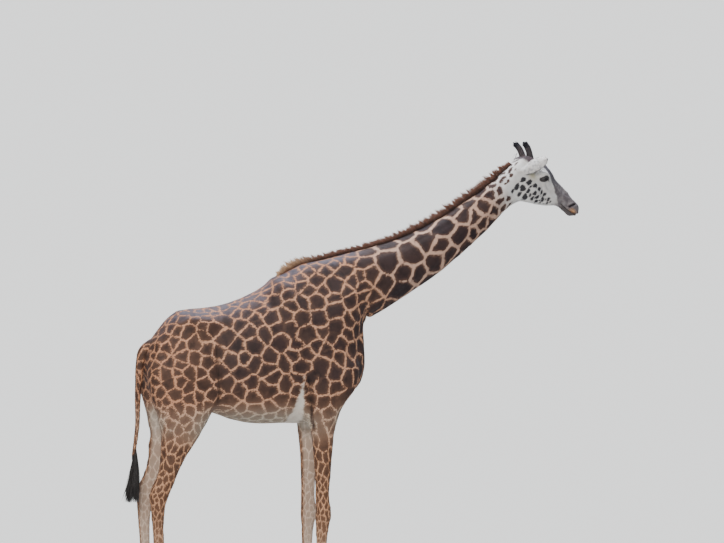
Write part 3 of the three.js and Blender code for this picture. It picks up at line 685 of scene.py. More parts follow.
# About how far apart the patches' middles are, in metres; the neck's by the way along it.
SIZE_BODY, SIZE_BACK, SIZE_RUMP = 0.122, 0.082, 0.088
SIZE_THIGH, SIZE_ARM, SIZE_SHANK, SIZE_FOOT = 0.072, 0.094, 0.056, 0.040
SIZE_NECK = [[0, 0.25, 0.6, 1.0, 1.3, 1.5, 1.7], [0.16, 0.20, 0.19, 0.15, 0.11, 0.074, 0.055]]


def drawn(value, *steps):
    """value drawn towards each target in turn, by an amount of 0 to 1."""
    for target, amount in steps:
        value = value + (target - value) * amount
    return value


def patch_size(b, up):
    z, hind = b["z"], b["hind"]
    return drawn(
        np.full(len(z), SIZE_BODY),
        (SIZE_BACK, ramp(up, 0.25, 0.70)),
        (SIZE_RUMP, ramp(b["x"], -1.2, -1.55)),
        (SIZE_THIGH, hind * (1 - ramp(z, 1.75, 2.05))),
        (SIZE_ARM, (1 - hind) * (1 - ramp(z, 1.75, 2.0))),
        (SIZE_SHANK, 1 - ramp(z, 1.15, 1.6)),
        (SIZE_FOOT, 1 - ramp(z, 0.5, 1.0)),
        (np.interp(b["u"], *SIZE_NECK), b["neck"]),
    )


SEED_ROOM = 4000  # more than the seeds that are ever chosen
SEED_GAP, SEED_GAP_SPREAD = 0.66, 0.42  # of a patch's size


def spread_seeds(points, sizes, rng):
    """Picks points no nearer to each other than their sizes ask, in random order."""
    chosen = np.empty((SEED_ROOM, 3))
    apart = np.empty(SEED_ROOM)
    count = 0
    for i in rng.permutation(len(points))[:SEED_TRIES]:
        gap = sizes[i] * (SEED_GAP + SEED_GAP_SPREAD * rng.random())
        d = np.linalg.norm(chosen[:count] - points[i], axis=1)
        if not np.any(d < (gap + apart[:count]) / 2):
            chosen[count], apart[count] = points[i], gap
            count += 1
    return chosen[:count], apart[:count]


PUFF = 0.05
BEND, BEND_SCALE, BEND_SHIFTS = 0.018, 6.5, ((0, 9, 4), (7, 1, 3), (2, 5, 8))
RIPPLE, RIPPLE_SCALE, RIPPLE_SHIFTS = 0.010, 19, ((3, 9, 1), (5, 2, 7), (8, 4, 6))


def marking_space(points, n):
    """Places in the space where the patches are laid out: puffed up, so that a leg's two sides
    stay apart, and bent, so that no edge runs straight."""
    bend = np.stack([noise_at(points, BEND_SCALE, shift) for shift in BEND_SHIFTS], 1)
    ripple = np.stack([noise_at(points, RIPPLE_SCALE, shift) for shift in RIPPLE_SHIFTS], 1)
    return points + n * PUFF + bend * BEND + ripple * RIPPLE


PAIRS = ((0, 1), (0, 2), (1, 2))
NEAR_SEEDS = 8  # looked at for the three whose patches are nearest


MERGED_SHARE = 0.05
GROWN_TOGETHER = 6.0  # enough to leave nothing of the line within a long patch
LONG_SHARE = 0.16
LONG_REACH = 0.27  # of a patch's size, from its middle to each of its two seeds
SEED_PULL = 0.34


class Patches:
    """The patches' seeds, and how far any place is from the lines between them. Each seed has
    a radius, and the line between two lies further from the larger. A long patch is two seeds
    of one group."""

    def __init__(self, points, n, rng):
        b = body_places(points)
        q = marking_space(points, n)
        seeds, apart = spread_seeds(q, patch_size(b, n[:, 2]), rng)
        group = np.arange(len(seeds))
        long = rng.random(len(seeds)) < LONG_SHARE
        way = rng.normal(size=(len(seeds), 3))
        way *= (LONG_REACH * apart / np.linalg.norm(way, axis=1))[:, None]
        self.seeds = np.vstack([seeds - way * long[:, None], (seeds + way)[long]])
        self.pull = (SEED_PULL * np.concatenate([apart, apart[long]])) ** 2
        self.pull *= 0.7 + 0.6 * rng.random(len(self.seeds))
        self.group = np.concatenate([group, group[long]])
        self.tone = rng.random(len(seeds))[self.group]
        self.tree = kdtree.KDTree(len(self.seeds))
        for i, place in enumerate(self.seeds):
            self.tree.insert(place, i)
        self.tree.balance()

    def nearest(self, q):
        """The three seeds whose patches are nearest to each place."""
        ids = np.array([[hit[1] for hit in self.tree.find_n(p, NEAR_SEEDS)] for p in q])
        power = ((q[:, None, :] - self.seeds[ids]) ** 2).sum(2) - self.pull[ids]
        order = np.argsort(power, axis=1, kind="stable")[:, :3]
        return np.take_along_axis(ids, order, 1)

    def bisectors(self, q, ids):
        """Signed distances in mm of q from the planes between the three seeds of each row."""

        def plane(i, j):
            # squared distances differ evenly across a face, so this holds inside it too
            p0, p1 = self.seeds[ids[:, i]], self.seeds[ids[:, j]]
            d0 = ((q - p0) ** 2).sum(1) - self.pull[ids[:, i]]
            d1 = ((q - p1) ** 2).sum(1) - self.pull[ids[:, j]]
            return (d0 - d1) / (2 * np.linalg.norm(p1 - p0, axis=1)) / MM

        return np.stack([plane(i, j) for i, j in PAIRS], 1)

    def merges(self, ids):
        """Which of each row's three pairs of patches have grown together."""
        out = np.zeros((len(ids), 3))
        for k, (i, j) in enumerate(PAIRS):
            # a fixed choice for each pair of seeds, so that skin and coat agree
            low = np.minimum(ids[:, i], ids[:, j]).astype(np.int64)
            high = np.maximum(ids[:, i], ids[:, j]).astype(np.int64)
            out[:, k] = (low * 7919 + high * 104729) % 1009 / 1009 < MERGED_SHARE
            out[self.group[low] == self.group[high], k] = GROWN_TOGETHER
        return out


# The spots of a cheek, in head mm: the band they lie in, from the jaw's corner forward, and
# their radius at its back and front.
CHEEK_ALONG = (-30, 345)
CHEEK_TOP = (-66, -62)
CHEEK_BOTTOM = (-240, -120)
CHEEK_RADIUS = (27, 16)
CHEEK_GAP = 5  # the pale line between two spots
CHEEK_TRIES = 2600

# The lower edge of the dark of forehead and nose, in head mm: along, up.
NOSE_LOWER_EDGE = [[20, 85, 150, 200, 260, 320, 400, 470], [105, 105, 94, 72, 50, 22, -22, -60]]


def cheek_spots(seed):
    """One cheek's spots: along, up and radius, the large ones first and all clear of each
    other."""
    rng = np.random.default_rng(seed)
    spots = []
    for k in range(CHEEK_TRIES):
        f = rng.random()
        along, bottom, top, radius = (
            np.interp(f, (0, 1), ends)
            for ends in (CHEEK_ALONG, CHEEK_BOTTOM, CHEEK_TOP, CHEEK_RADIUS)
        )
        up = rng.uniform(bottom, top)
        radius *= rng.uniform(0.8, 1.1) * (1 - 0.6 * k / CHEEK_TRIES)
        if all(math.hypot(along - a, up - c) > radius + r + CHEEK_GAP for a, c, r in spots):
            spots.append((along, up, radius))
    return spots


# Half the width of the lines between patches, in mm; the neck's by the way along it.
HALF_BODY, HALF_BACK, HALF_LEG, HALF_FOOT = 6.6, 5.6, 5.4, 4.4
HALF_NECK = [[0, 0.3, 0.8, 1.3, 1.6], [9, 12.5, 15, 13.5, 14]]
ELBOW_PLACE = -0.575
ELBOW_WEDGE = [[1.62, 1.76, 1.90, 2.06], [0.075, 0.058, 0.030, 0.004]]  # half width by height
# painted shade: the near black laid along the body's folds
FOLD_SHADE_COLOUR = (0.016, 0.010, 0.009)
LINE_BODY = (0.56, 0.3, 0.18)
LINE_BACK = (0.5, 0.235, 0.125)
LINE_LEG = (0.52, 0.28, 0.155)
LINE_FOOT = (0.55, 0.38, 0.26)
LINE_BELLY = (0.5, 0.43, 0.34)
LINE_NECK = (0.53, 0.34, 0.25)
LINE_PALE = (0.62, 0.56, 0.49)
WHITE = (0.66, 0.64, 0.62)
PATCH_BODY = (0.033, 0.018, 0.017)
PATCH_RUMP = (0.062, 0.03, 0.02)
PATCH_LEG = (0.105, 0.048, 0.024)
# painted reflection: the sky's sheen on the patches of the back
PATCH_SKY_SHEEN = (0.105, 0.095, 0.125)
PATCH_NECK = (0.024, 0.0135, 0.0155)
BROW = (0.058, 0.050, 0.060)
SKULL = (0.050, 0.030, 0.040)
OLIVE = (0.42, 0.38, 0.20)
MUZZLE = (0.135, 0.118, 0.125)
MUZZLE_PALE = (0.34, 0.31, 0.31)
LIP_TAN = (0.46, 0.24, 0.11)
LIP_DARK = (0.050, 0.038, 0.038)
SPOT = (0.014, 0.012, 0.017)
EYE_RING = (0.012, 0.010, 0.012)
BLACK = (0.008, 0.006, 0.006)
EAR_GREY = (0.27, 0.26, 0.275)
EAR_INNER = (0.26, 0.20, 0.19)
EAR_RIM = (0.07, 0.058, 0.058)


def paint_head(ground, points, b):
    """The head's colours: white cheeks with spots, a dark forehead and nose, dark eyes."""
    s, l, t = b["s"], b["l"], b["t"]
    wave = noise_at(points, 22.0, 3.0)
    fine = noise_at(points, 70.0, 5.0)
    ear = ramp(abs(l), 104, 116) * (s < 90) * b["head"]
    bare = b["head"] * (1 - ear)
    olive = bare * bump(s, 55, 42) * bump(t, -22, 30) * ramp(abs(l), 55, 80)
    # the dark of the forehead and nose, which comes down over the sides towards the muzzle
    low = np.interp(s, *NOSE_LOWER_EDGE)
    band = bare * ramp(s, 10, 60) * ramp(t + 14 * wave + 5 * fine, low - 7, low + 7)
    grizzle = bare * ramp(s, 180, 300) * ramp(fine, 0.0, 0.35)
    muzzle = bare * ramp(s + 30 * wave, 370, 430)
    lip = bare * bump(s, 562, 34) * bump(t, 0, 15) * ramp(t, -22, -8)
    line = np.array(MOUTH[::-1], float)
    mouth = np.interp(s, line[:, 0], line[:, 2])
    hole = from_polyline(np.stack([s, t], 1), np.array(NOSTRIL, float)[:, [0, 2]])
    beside = bare * (abs(l) > 25)
    ground = laid(
        ground,
        (WHITE, b["head"]),
        (OLIVE, 0.7 * olive),
        (BROW, 0.94 * band),
        (MUZZLE, 0.6 * band * ramp(s, 240, 420)),
        (MUZZLE_PALE, 0.35 * grizzle * band),
        (MUZZLE, 0.85 * muzzle),
        (MUZZLE_PALE, 0.45 * muzzle * ramp(wave, 0.0, 0.4)),
        (LIP_TAN, 0.9 * lip),
        (LIP_DARK, 0.85 * bare * ramp(s, 440, 470) * ramp(mouth - t, 0, 7)),
        # painted shade: black along the slit between the lips and in the nostrils' slits
        (BLACK, 0.9 * bare * ramp(s, 430, 445) * bump(t, mouth, 4.5)),
        (BLACK, beside * (1 - ramp(hole, 4.5, 8.5))),
        (BROW, 0.6 * beside * (1 - ramp(hole, 9, 20))),
    )
    for side, _ in SIDES:
        mine = bare * (np.sign(l) == side) * ramp(abs(l), 28, 40)
        for along, up, radius in cheek_spots(SEED + side):
            d = np.hypot((s + 16 * wave - along) * 1.08, (t + 12 * fine - up) * 0.90)
            ground = mix(ground, SPOT, 0.97 * mine * (1 - ramp(d, radius - 2, radius + 2)))
    for side, _ in SIDES:
        centre, axes = eye_frame(side)
        p = (points - centre) @ axes.T / MM
        h, v, out = p.T
        near = bare * (out > -18) * (np.linalg.norm(p, axis=1) < 80)
        tear = bump(v + 0.5 * (h - 22), 0, 6) * ramp(h, 10, 24)
        ground = laid(
            ground,
            (WHITE, near * bump(v, 34, 9) * (abs(h) < 40) * 0.9),
            (EYE_RING, 0.95 * near * (1 - ramp(opening(h, v) + 1.2 * wave, 2.4, 3.6))),
            (EYE_RING, 0.7 * near * tear * (1 - ramp(h, 44, 66))),
        )
    return paint_ears(ground, points, ear)


def paint_ears(ground, points, ear):
    """White ears with faint grey streaks and a dark rim; bare grey skin inside."""
    if not np.any(ear > 0):
        return ground
    local = to_head(points)
    streak = ramp(noise_at(points, 60.0, 2.0) + 0.3 * noise_at(points, 180.0), 0.0, 0.4)
    for side, _ in SIDES:
        root, along, face, across = ear_frame(side)
        d = local - root
        v = d @ along / (along @ along)
        q = abs(d @ across) / np.maximum(ear_half(v), 4)
        on = ear * (np.sign(local[:, 1]) == side) * ramp(v, 0.0, 0.12)
        front = ramp(d @ face - ear_sheet(v, q), -1.0, 1.5)
        ground = laid(
            ground,
            (EAR_GREY, 0.7 * on * streak),
            (EAR_INNER, 0.8 * on * front * (1 - ramp(q, 0.62, 0.9))),
            (EAR_RIM, 0.85 * on * np.maximum(ramp(q, 0.90, 0.99), ramp(v, 0.95, 1.0))),
        )
    return ground


def mix(base, colour, amount):
    return base + (np.array(colour) - base) * np.clip(amount, 0, 1)[:, None]


def laid(base, *layers):
    """base with each colour laid over it in turn."""
    for colour, amount in layers:
        base = mix(base, colour, amount)
    return base


def paint(points, n):
    """At each place: the colours of the ground and of the patches, the lines' half width in mm,
    how much the patches show, and how ragged their edges are."""
    b = body_places(points)
    up, z, x = n[:, 2], b["z"], b["x"]
    count = len(x)
    body = (1 - b["neck"]) * (1 - b["head"])
    # the pale wedge behind the elbow, which widens downwards
    wide = np.interp(z, *ELBOW_WEDGE)
    ragged = 0.016 * noise_at(points, 24.0) + 0.010 * noise_at(points, 70.0)
    off = abs(x - ELBOW_PLACE - 0.10 * (z - 1.85)) + ragged
    elbow = (1 - ramp(off, wide - 0.010, wide + 0.006)) * ramp(z, 1.60, 1.66) * (z < 2.09)
    outward = n[:, 1] * np.sign(b["side"])
    inner = ramp(-outward, 0.3, 0.8) * (abs(b["side"]) < 0.22) * (1 - ramp(z, 1.75, 1.95))
    belly = body * (1 - ramp(z, 1.74, 1.92)) * ramp(-up, -0.2, 0.4) * ramp(z, 1.5, 1.7)
    ground = laid(
        np.tile(np.array(LINE_BODY), (count, 1)),
        (LINE_BACK, body * np.maximum(ramp(up, 0.25, 0.7), 0.7 * ramp(x, -1.3, -1.6))),
        (LINE_LEG, 1 - ramp(z, 1.4, 1.9)),
        (LINE_FOOT, 1 - ramp(z, 0.4, 1.1)),
        (LINE_BELLY, belly),
        (LINE_NECK, b["neck"]),
        (WHITE, b["neck"] * ramp(b["u"], 1.25, 1.52)),
        (LINE_PALE, elbow),
        (LINE_PALE, 0.55 * inner),
    )
    patch = laid(
        np.tile(np.array(PATCH_BODY), (count, 1)),
        (PATCH_RUMP, body * np.maximum(ramp(x, -1.1, -1.4), 1 - ramp(z, 1.85, 2.15))),
        (PATCH_LEG, 1 - ramp(z, 1.2, 1.75)),
        # painted reflection: patches that face up on the back take a slate blue sky sheen
        (PATCH_SKY_SHEEN, body * ramp(up, 0.45, 0.85) * ramp(z, 2.3, 2.5)),
        (PATCH_NECK, b["neck"]),
    )
    half = drawn(
        np.full(count, HALF_BODY),
        (HALF_BACK, ramp(up, 0.45, 0.85)),
        (HALF_LEG, 1 - ramp(z, 1.3, 1.9)),
        (HALF_FOOT, 1 - ramp(z, 0.6, 1.0)),
        (np.interp(b["u"], *HALF_NECK), b["neck"]),
    )
    half += 30 * ramp(b["head"], 0.0, 0.7)  # the patches shrink away towards the head
    show = 1 - 0.45 * (1 - ramp(z, 1.72, 1.95)) * ramp(z, 1.5, 1.62) * ramp(-up, -0.3, 0.5) * body
    show *= 1 - 0.35 * (1 - ramp(z, 0.6, 1.1))
    show *= 1 - 0.6 * (1 - ramp(z, 0.15, 0.6))
    show *= (1 - 0.92 * elbow) * (1 - 0.55 * inner) * (b["head"] < 0.97)
    jag = 8.0 + 2.0 * b["neck"] + 2.0 * body * ramp(x, -0.9, -0.5)
    jag = drawn(jag, (4.5, 1 - ramp(z, 1.4, 1.8)))
    sides = np.stack([x, z], 1)
    # painted shade: the ground and the patches go nearly black along each fold's line, on the outward
    # sides
    for line in FOLDS:
        near = from_polyline(sides, np.array(line)[:, [0, 2]])
        dark = 0.92 * bump(near, 0, FOLD_SHADE_WIDTH) * ramp(abs(b["side"]), 0.04, 0.12)
        dark *= ramp(outward, 0.0, 0.4)
        ground = mix(ground, FOLD_SHADE_COLOUR, dark)
        patch = mix(patch, FOLD_SHADE_COLOUR, dark)
    ground = mix(paint_head(ground, points, b), SKULL, 0.94 * b["crown"])
    patch = mix(patch, SKULL, b["crown"])
    return ground, patch, half, show, jag


def attribute(mesh, name, values, domain="POINT"):
    """Writes a value, vector or colour for each point or corner."""
    width = values.shape[1] if values.ndim > 1 else 1
    kind, key = {1: ("FLOAT", "value"), 3: ("FLOAT_VECTOR", "vector"), 4: ("FLOAT_COLOR", "color")}[width]
    data = mesh.attributes.new(name, kind, domain).data
    data.foreach_set(key, np.ascontiguousarray(values, np.float32).ravel())


def set_paint(mesh, points, n, repeat=1):
    """Writes the painted values on the points, each value repeated for a whole tuft."""
    ground, patch, *lines = paint(points, n)
    opaque = np.ones((len(points), 1))
    for name, values in (
        ("ground", np.hstack([ground, opaque])),
        ("patch", np.hstack([patch, opaque])),
        ("lines", np.stack(lines, 1)),
    ):
        attribute(mesh, name, np.repeat(values, repeat, 0))


def mark_skin(mesh, patches):
    """Marks each face's corners with their distances from the lines that cross it."""
    co, n = places(mesh), soft_normals(mesh)
    q = marking_space(co, n)
    loops = read(mesh.loops, "vertex_index", kind=np.int32)
    totals = read(mesh.polygons, "loop_total", kind=np.int32)
    starts = np.concatenate([[0], np.cumsum(totals)[:-1]])
    middles = np.add.reduceat(q[loops], starts, axis=0) / totals[:, None]
    ids = patches.nearest(middles)
    face_of = np.repeat(np.arange(len(totals)), totals)
    attribute(mesh, "mark", patches.bisectors(q[loops], ids[face_of]), "CORNER")
    attribute(mesh, "merge", patches.merges(ids)[face_of], "CORNER")
    attribute(mesh, "tone", patches.tone[ids[face_of, 0]], "CORNER")
    set_paint(mesh, co, n)


SOFT_ROUNDS = 12


def soft_normals(mesh):
    """Normals of the body's broad shape, without its small forms."""
    n = normals(mesh)
    linked = neighbours(mesh)
    for _ in range(SOFT_ROUNDS):
        n = n + 0.6 * (averaged(n, *linked) - n)
    return unit(n)


rng = np.random.default_rng(SEED)
patches = Patches(places(raw), soft_normals(raw), rng)
mark_skin(raw, patches)

# ---------------------------------------------------------------- materials


class Nodes:
    """A short way to write a material's node tree."""

    def __init__(self, name):
        self.material = bpy.data.materials.new(name)
        self.material.use_nodes = True
        self.tree = self.material.node_tree
        self.shader = self.tree.nodes["Principled BSDF"]

    def add(self, kind, inputs=None, **settings):
        node = self.tree.nodes.new(kind)
        for key, value in settings.items():
            setattr(node, key, value)
        for key, value in (inputs or {}).items():
            self.put(value, node.inputs[key])
        return node

    def put(self, value, socket):
        if isinstance(value, bpy.types.NodeSocket):
            self.tree.links.new(value, socket)
        elif isinstance(value, tuple) and socket.type == "RGBA" and len(value) == 3:
            socket.default_value = (*value, 1)
        else:
            socket.default_value = value

    def math(self, operation, a, b=0.0, c=0.0):
        return self.add("ShaderNodeMath", {0: a, 1: b, 2: c}, operation=operation).outputs[0]

    def times(self, a, b):
        return self.math("MULTIPLY", a, b)

    def plus(self, a, b):
        return self.math("ADD", a, b)

    def attribute(self, name, output="Fac"):
        return self.add("ShaderNodeAttribute", attribute_name=name).outputs[output]

    def split(self, name):
        """The three parts of a vector attribute."""
        return self.add("ShaderNodeSeparateXYZ", {0: self.attribute(name, "Vector")}).outputs

    def noise(self, scale, detail=3.0, vector=None):
        inputs = {"Scale": scale, "Detail": detail, "Roughness": 0.55}
        inputs["Vector"] = self.where() if vector is None else vector
        return self.add("ShaderNodeTexNoise", inputs).outputs["Fac"]

    def where(self):
        if not hasattr(self, "place"):
            self.place = self.add("ShaderNodeTexCoord").outputs["Object"]
        return self.place

    def grain(self, detail, *scale):
        """Noise with a scale of its own along each axis."""
        spread = self.add("ShaderNodeMapping", {"Vector": self.where(), "Scale": scale})
        return self.noise(1.0, detail, spread.outputs[0])

    def range(self, value, low, high, to_low=0.0, to_high=1.0):
        return self.add(
            "ShaderNodeMapRange",
            {"Value": value, "From Min": low, "From Max": high, "To Min": to_low, "To Max": to_high},
            interpolation_type="SMOOTHSTEP",
        ).outputs["Result"]

    def mixed(self, amount, a, b, blend="MIX"):
        node = self.add("ShaderNodeMix", data_type="RGBA", blend_type=blend)
        self.put(amount, node.inputs["Factor"])
        self.put(a, node.inputs["A"])
        self.put(b, node.inputs["B"])
        return next(o for o in node.outputs if o.type == "RGBA")

    def bump(self, height, distance, strength=1.0, below=None):
        inputs = {"Height": height, "Distance": distance, "Strength": strength}
        if below is not None:
            inputs["Normal"] = below
        return self.add("ShaderNodeBump", inputs).outputs["Normal"]

    def finish(self, **values):
        for key, value in values.items():
            self.put(value, self.shader.inputs[key.replace("_", " ")])
        return self.material


def distance_from_lines(n):
    """The distance in mm of the shaded place from the nearest line between patches. A line
    between two patches that have grown together is open here and there."""
    ab, ac, bc = n.split("mark")
    open_here = n.range(n.noise(8.0, 1.0), 0.40, 0.56, 3.0, 26.0)
    add_ab, add_ac, add_bc = (n.times(m, open_here) for m in n.split("merge"))

    def from_two(first, add_first, sign_first, second, add_second, sign_second):
        return n.math(
            "MINIMUM",
            n.math("MULTIPLY_ADD", first, sign_first, add_first),
            n.math("MULTIPLY_ADD", second, sign_second, add_second),
        )

    in_a = from_two(ab, add_ab, -1.0, ac, add_ac, -1.0)
    in_b = from_two(ab, add_ab, 1.0, bc, add_bc, -1.0)
    in_c = from_two(ac, add_ac, 1.0, bc, add_bc, 1.0)
    return n.math("MAXIMUM", in_a, n.math("MAXIMUM", in_b, in_c))


PATCH_RIM, PATCH_FADED, PATCH_BLOTCH = (0.16, 0.08, 0.05), (0.13, 0.07, 0.045), (0.012, 0.007, 0.007)
GROUND_MOTTLE, HAIR_STREAK = (0.70, 0.58, 0.50), (0.75, 0.62, 0.52)


def coat_material():
    """The skin's and the coat's material, which draws the patches."""
    n = Nodes("coat")
    away = distance_from_lines(n)
    half, show, jag = n.split("lines")
    coarse = n.math("SUBTRACT", n.noise(26.0, 2.0), 0.5)
    fine = n.math("SUBTRACT", n.noise(95.0, 2.0), 0.5)
    ragged = n.times(jag, n.plus(n.times(coarse, 2.6), n.times(fine, 3.0)))
    edge = n.math("SUBTRACT", n.plus(away, ragged), half)
    deep = n.range(edge, 2.0, 34.0)
    blotch = n.range(n.noise(13.0, 3.0), 0.42, 0.68)
    patch = n.attribute("patch", "Color")
    patch = n.mixed(n.range(deep, 0.0, 1.0, 0.30, 0.0), patch, PATCH_RIM)
    patch = n.mixed(n.times(n.attribute("tone"), 0.20), patch, PATCH_FADED)
    patch = n.mixed(n.times(n.times(blotch, deep), 0.45), patch, PATCH_BLOTCH)
    mottle = n.range(n.noise(22.0, 3.0), 0.35, 0.75, 0.0, 0.28)
    ground = n.mixed(mottle, n.attribute("ground", "Color"), GROUND_MOTTLE, "MULTIPLY")
    colour = n.mixed(n.times(n.range(edge, -1.6, 2.4), show), ground, patch)
    streak = n.range(n.grain(3.0, 160.0, 160.0, 60.0), 0.3, 0.8, 0.0, 0.22)
    lumps = n.bump(n.noise(34.0, 3.0), 0.006, 0.5)
    return n.finish(
        Base_Color=n.mixed(streak, colour, HAIR_STREAK, "OVERLAY"),
        Roughness=0.6,
        Normal=n.bump(n.grain(4.0, 420.0, 420.0, 140.0), 0.0012, 0.7, lumps),
        Sheen_Weight=0.06,
        Sheen_Roughness=0.45,
        Sheen_Tint=(0.8, 0.86, 1.0),
        Specular_IOR_Level=0.22,
    )


coat = coat_material()
skin.data.materials.clear()
skin.data.materials.append(coat)


def hair_material(name, root, tip, roughness=0.55):
    """Hair whose colour runs from root to tip, with each lock a little different."""
    n = Nodes(name)
    colour = n.mixed(n.range(n.attribute("along"), 0.15, 0.95), root, tip)
    colour = n.mixed(n.times(n.attribute("lock"), 0.3), colour, tuple(c * 0.35 for c in root))
    fine = n.range(n.grain(2.0, 300.0, 300.0, 60.0), 0.35, 0.7, 0.0, 0.35)
    return n.finish(
        Base_Color=n.mixed(fine, colour, tuple(c * 0.6 for c in tip)),
        Roughness=roughness,
        Sheen_Weight=0.1,
        Sheen_Roughness=0.4,
        Specular_IOR_Level=0.3,
    )


# ---------------------------------------------------------------- hair


def fast_mesh(name, points, sizes, corners):
    """A mesh from arrays: each face's number of corners, and the corners in one row."""
    mesh = bpy.data.meshes.new(name)
    mesh.vertices.add(len(points))
    mesh.vertices.foreach_set("co", np.asarray(points, np.float32).ravel())
    mesh.loops.add(len(corners))
    mesh.loops.foreach_set("vertex_index", np.asarray(corners, np.int32))
    mesh.polygons.add(len(sizes))
    starts = np.concatenate([[0], np.cumsum(sizes)[:-1]])
    mesh.polygons.foreach_set("loop_start", starts.astype(np.int32))
    mesh.update(calc_edges=True)
    mesh.validate()
    return mesh


LOCK_UV = 0.0015  # half the size of a lock's patch on the unwrap


def locks(name, roots, out, lie, length, width, uv, rings=1, thick=0.35, lift=0.3, curl=None):
    """Solid pointed locks of hair, and the number of points of each. out is the skin's normal,
    lie the way the hair lies, both one row a lock; lift is how far the lock stands off over its
    length, curl a sideways sweep."""
    count = len(roots)
    lie = unit(lie - out * (lie * out).sum(1, keepdims=True))
    side = np.cross(out, lie)
    length, width = length[:, None], width[:, None]
    curl = np.zeros((count, 1)) if curl is None else curl[:, None]
    lift = np.broadcast_to(np.asarray(lift, float).reshape(-1, 1), (count, 1))
    steps = np.linspace(0, 1, rings + 1)
    layers = []
    for t in steps[:-1]:
        middle = roots + length * (t * lie + out * lift * t * (2 - t) * 0.5 + side * curl * t * t)
        half = width / 2 * (1 - 0.55 * t * t)
        layers += [
            middle - side * half - out * width * thick * 0.3,
            middle + side * half - out * width * thick * 0.3,
            middle + out * width * thick,
        ]
    layers.append(roots + length * (lie + out * lift * 0.5 + side * curl))
    per = len(layers)
    points = np.stack(layers, 1).reshape(-1, 3)
    faces = [(0, 2, 1)]
    for k in range(rings - 1):
        a = 3 * k
        for i, j in ((0, 1), (1, 2), (2, 0)):
            faces.append((a + i, a + j, a + 3 + j, a + 3 + i))
    a = 3 * (rings - 1)
    for i, j in ((0, 1), (1, 2), (2, 0)):
        faces.append((a + i, a + j, per - 1))
    one = np.concatenate([np.array(f) for f in faces])
    corners = (one[None, :] + per * np.arange(count)[:, None]).ravel()
    sizes = np.tile([len(f) for f in faces], count)
    mesh = fast_mesh(name, points, sizes, corners)
    along = np.append(np.repeat(steps[:-1], 3), 1.0)
    attribute(mesh, "along", np.tile(along, count))
    patch = np.array([(-1, -1), (1, -1), (0, -0.6)] * rings + [(0, 1)], float)
    patch[:-1, 1] += np.repeat(np.arange(rings) / rings, 3) * 1.6
    spread = (uv[:, None, :] + LOCK_UV * patch[None, :, :]).reshape(-1, 2)
    layer = mesh.uv_layers.new(name="OFBake")
    layer.data.foreach_set("uv", spread[corners].astype(np.float32).ravel())
    return mesh, per


def shade_as(mesh, n, per, own=0.35):
    """Shades each lock mostly as the skin under it."""
    shade_smooth(mesh)
    mixed = unit(own * normals(mesh) + (1 - own) * np.repeat(n, per, 0))
    mesh.normals_split_custom_set_from_vertices(mixed.astype(np.float32))


def piece(name, mesh, material, slot, *replaced):
    o = new_object(name, mesh)
    mesh.materials.append(material)
    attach(o, "root")
    if replaced:
        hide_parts(*replaced)


class Surface:
    """The skin as a thing to plant hair on."""

    def __init__(self, mesh):
        mesh.calc_loop_triangles()
        triangles = mesh.loop_triangles
        self.corners = read(triangles, "vertices", 3, np.int32)
        self.areas = read(triangles, "area")
        uv = read(mesh.uv_layers["OFBake"].data, "uv", 2)
        self.uv = uv[read(triangles, "loops", 3, np.int32)]
        self.co, self.n = places(mesh), normals(mesh)
        self.middles = self.co[self.corners].mean(1)
        self.tree = BVHTree.FromPolygons(self.co.tolist(), self.corners.tolist())

    def scatter(self, per_area, rng):
        """Random places, with per_area of them in each square metre at each triangle."""
        wanted = self.areas * per_area
        number = (wanted + rng.random(len(wanted))).astype(int)
        t = np.repeat(np.arange(len(wanted)), number)
        a, b = rng.random((2, len(t)))
        flip = a + b > 1
        a[flip], b[flip] = 1 - a[flip], 1 - b[flip]
        w = np.stack([1 - a - b, a, b], 1)[:, :, None]
        return (
            (self.co[self.corners[t]] * w).sum(1),
            unit((self.n[self.corners[t]] * w).sum(1)),
            (self.uv[t] * w).sum(1),
        )

    def uv_near(self, points):
        """The place on the unwrap of the triangle nearest to each point."""
        out = np.empty((len(points), 2))
        for i, p in enumerate(points):
            out[i] = self.uv[self.tree.find_nearest(Vector(p))[2]].mean(0)
        return out


def unwrap(o):
    """Lays the skin out flat in the OFBake map."""
    bpy.context.view_layer.objects.active = o
    o.select_set(True)
    o.data.uv_layers.new(name="OFBake")
    bpy.ops.object.mode_set(mode="EDIT")
    bpy.ops.mesh.select_all(action="SELECT")
    bpy.ops.uv.smart_project(angle_limit=math.radians(66), island_margin=0.001)
    bpy.ops.object.mode_set(mode="OBJECT")
    o.select_set(False)


def lie_of(points, b):
    """The way the coat lies: back and down on the body, down the neck and legs, and back from
    the nose over the head."""
    neck = np.array([-math.cos(NECK_PITCH), 0.0, -math.sin(NECK_PITCH) - 0.25])
    head = -HEAD_AXES[0] + np.outer(np.clip(-b["t"] / 150, -0.4, 0.8), -HEAD_AXES[2])
    lie = drawn(
        np.tile([-0.86, 0.0, -0.5], (len(points), 1)),
        (np.array([0.0, 0.0, -1.0]), b["leg"][:, None]),
        (neck, b["neck"][:, None]),
        (head, b["head"][:, None]),
    )
    on_ear = (abs(b["l"]) > 112) & (b["head"] > 0.2)
    for side, _ in SIDES:
        lie[on_ear & (np.sign(b["l"]) == side)] = unit(ear_frame(side)[1] @ HEAD_AXES)
    on_tail = (points[:, 0] < -1.775) & (points[:, 2] > 1.4) & (abs(b["side"]) < 0.06)
    lie[on_tail] = [0, 0, -1.0]
    return lie


def in_eye(points):
    out = np.zeros(len(points), bool)
    for side in (-1, 1):
        centre, axes = eye_frame(side)
        p = (points - centre) @ axes.T / MM
        near = np.linalg.norm(p, axis=1) < 60
        out |= near & (opening(p[:, 0], p[:, 1]) < 1.5) & (p[:, 2] > 0)
    return out


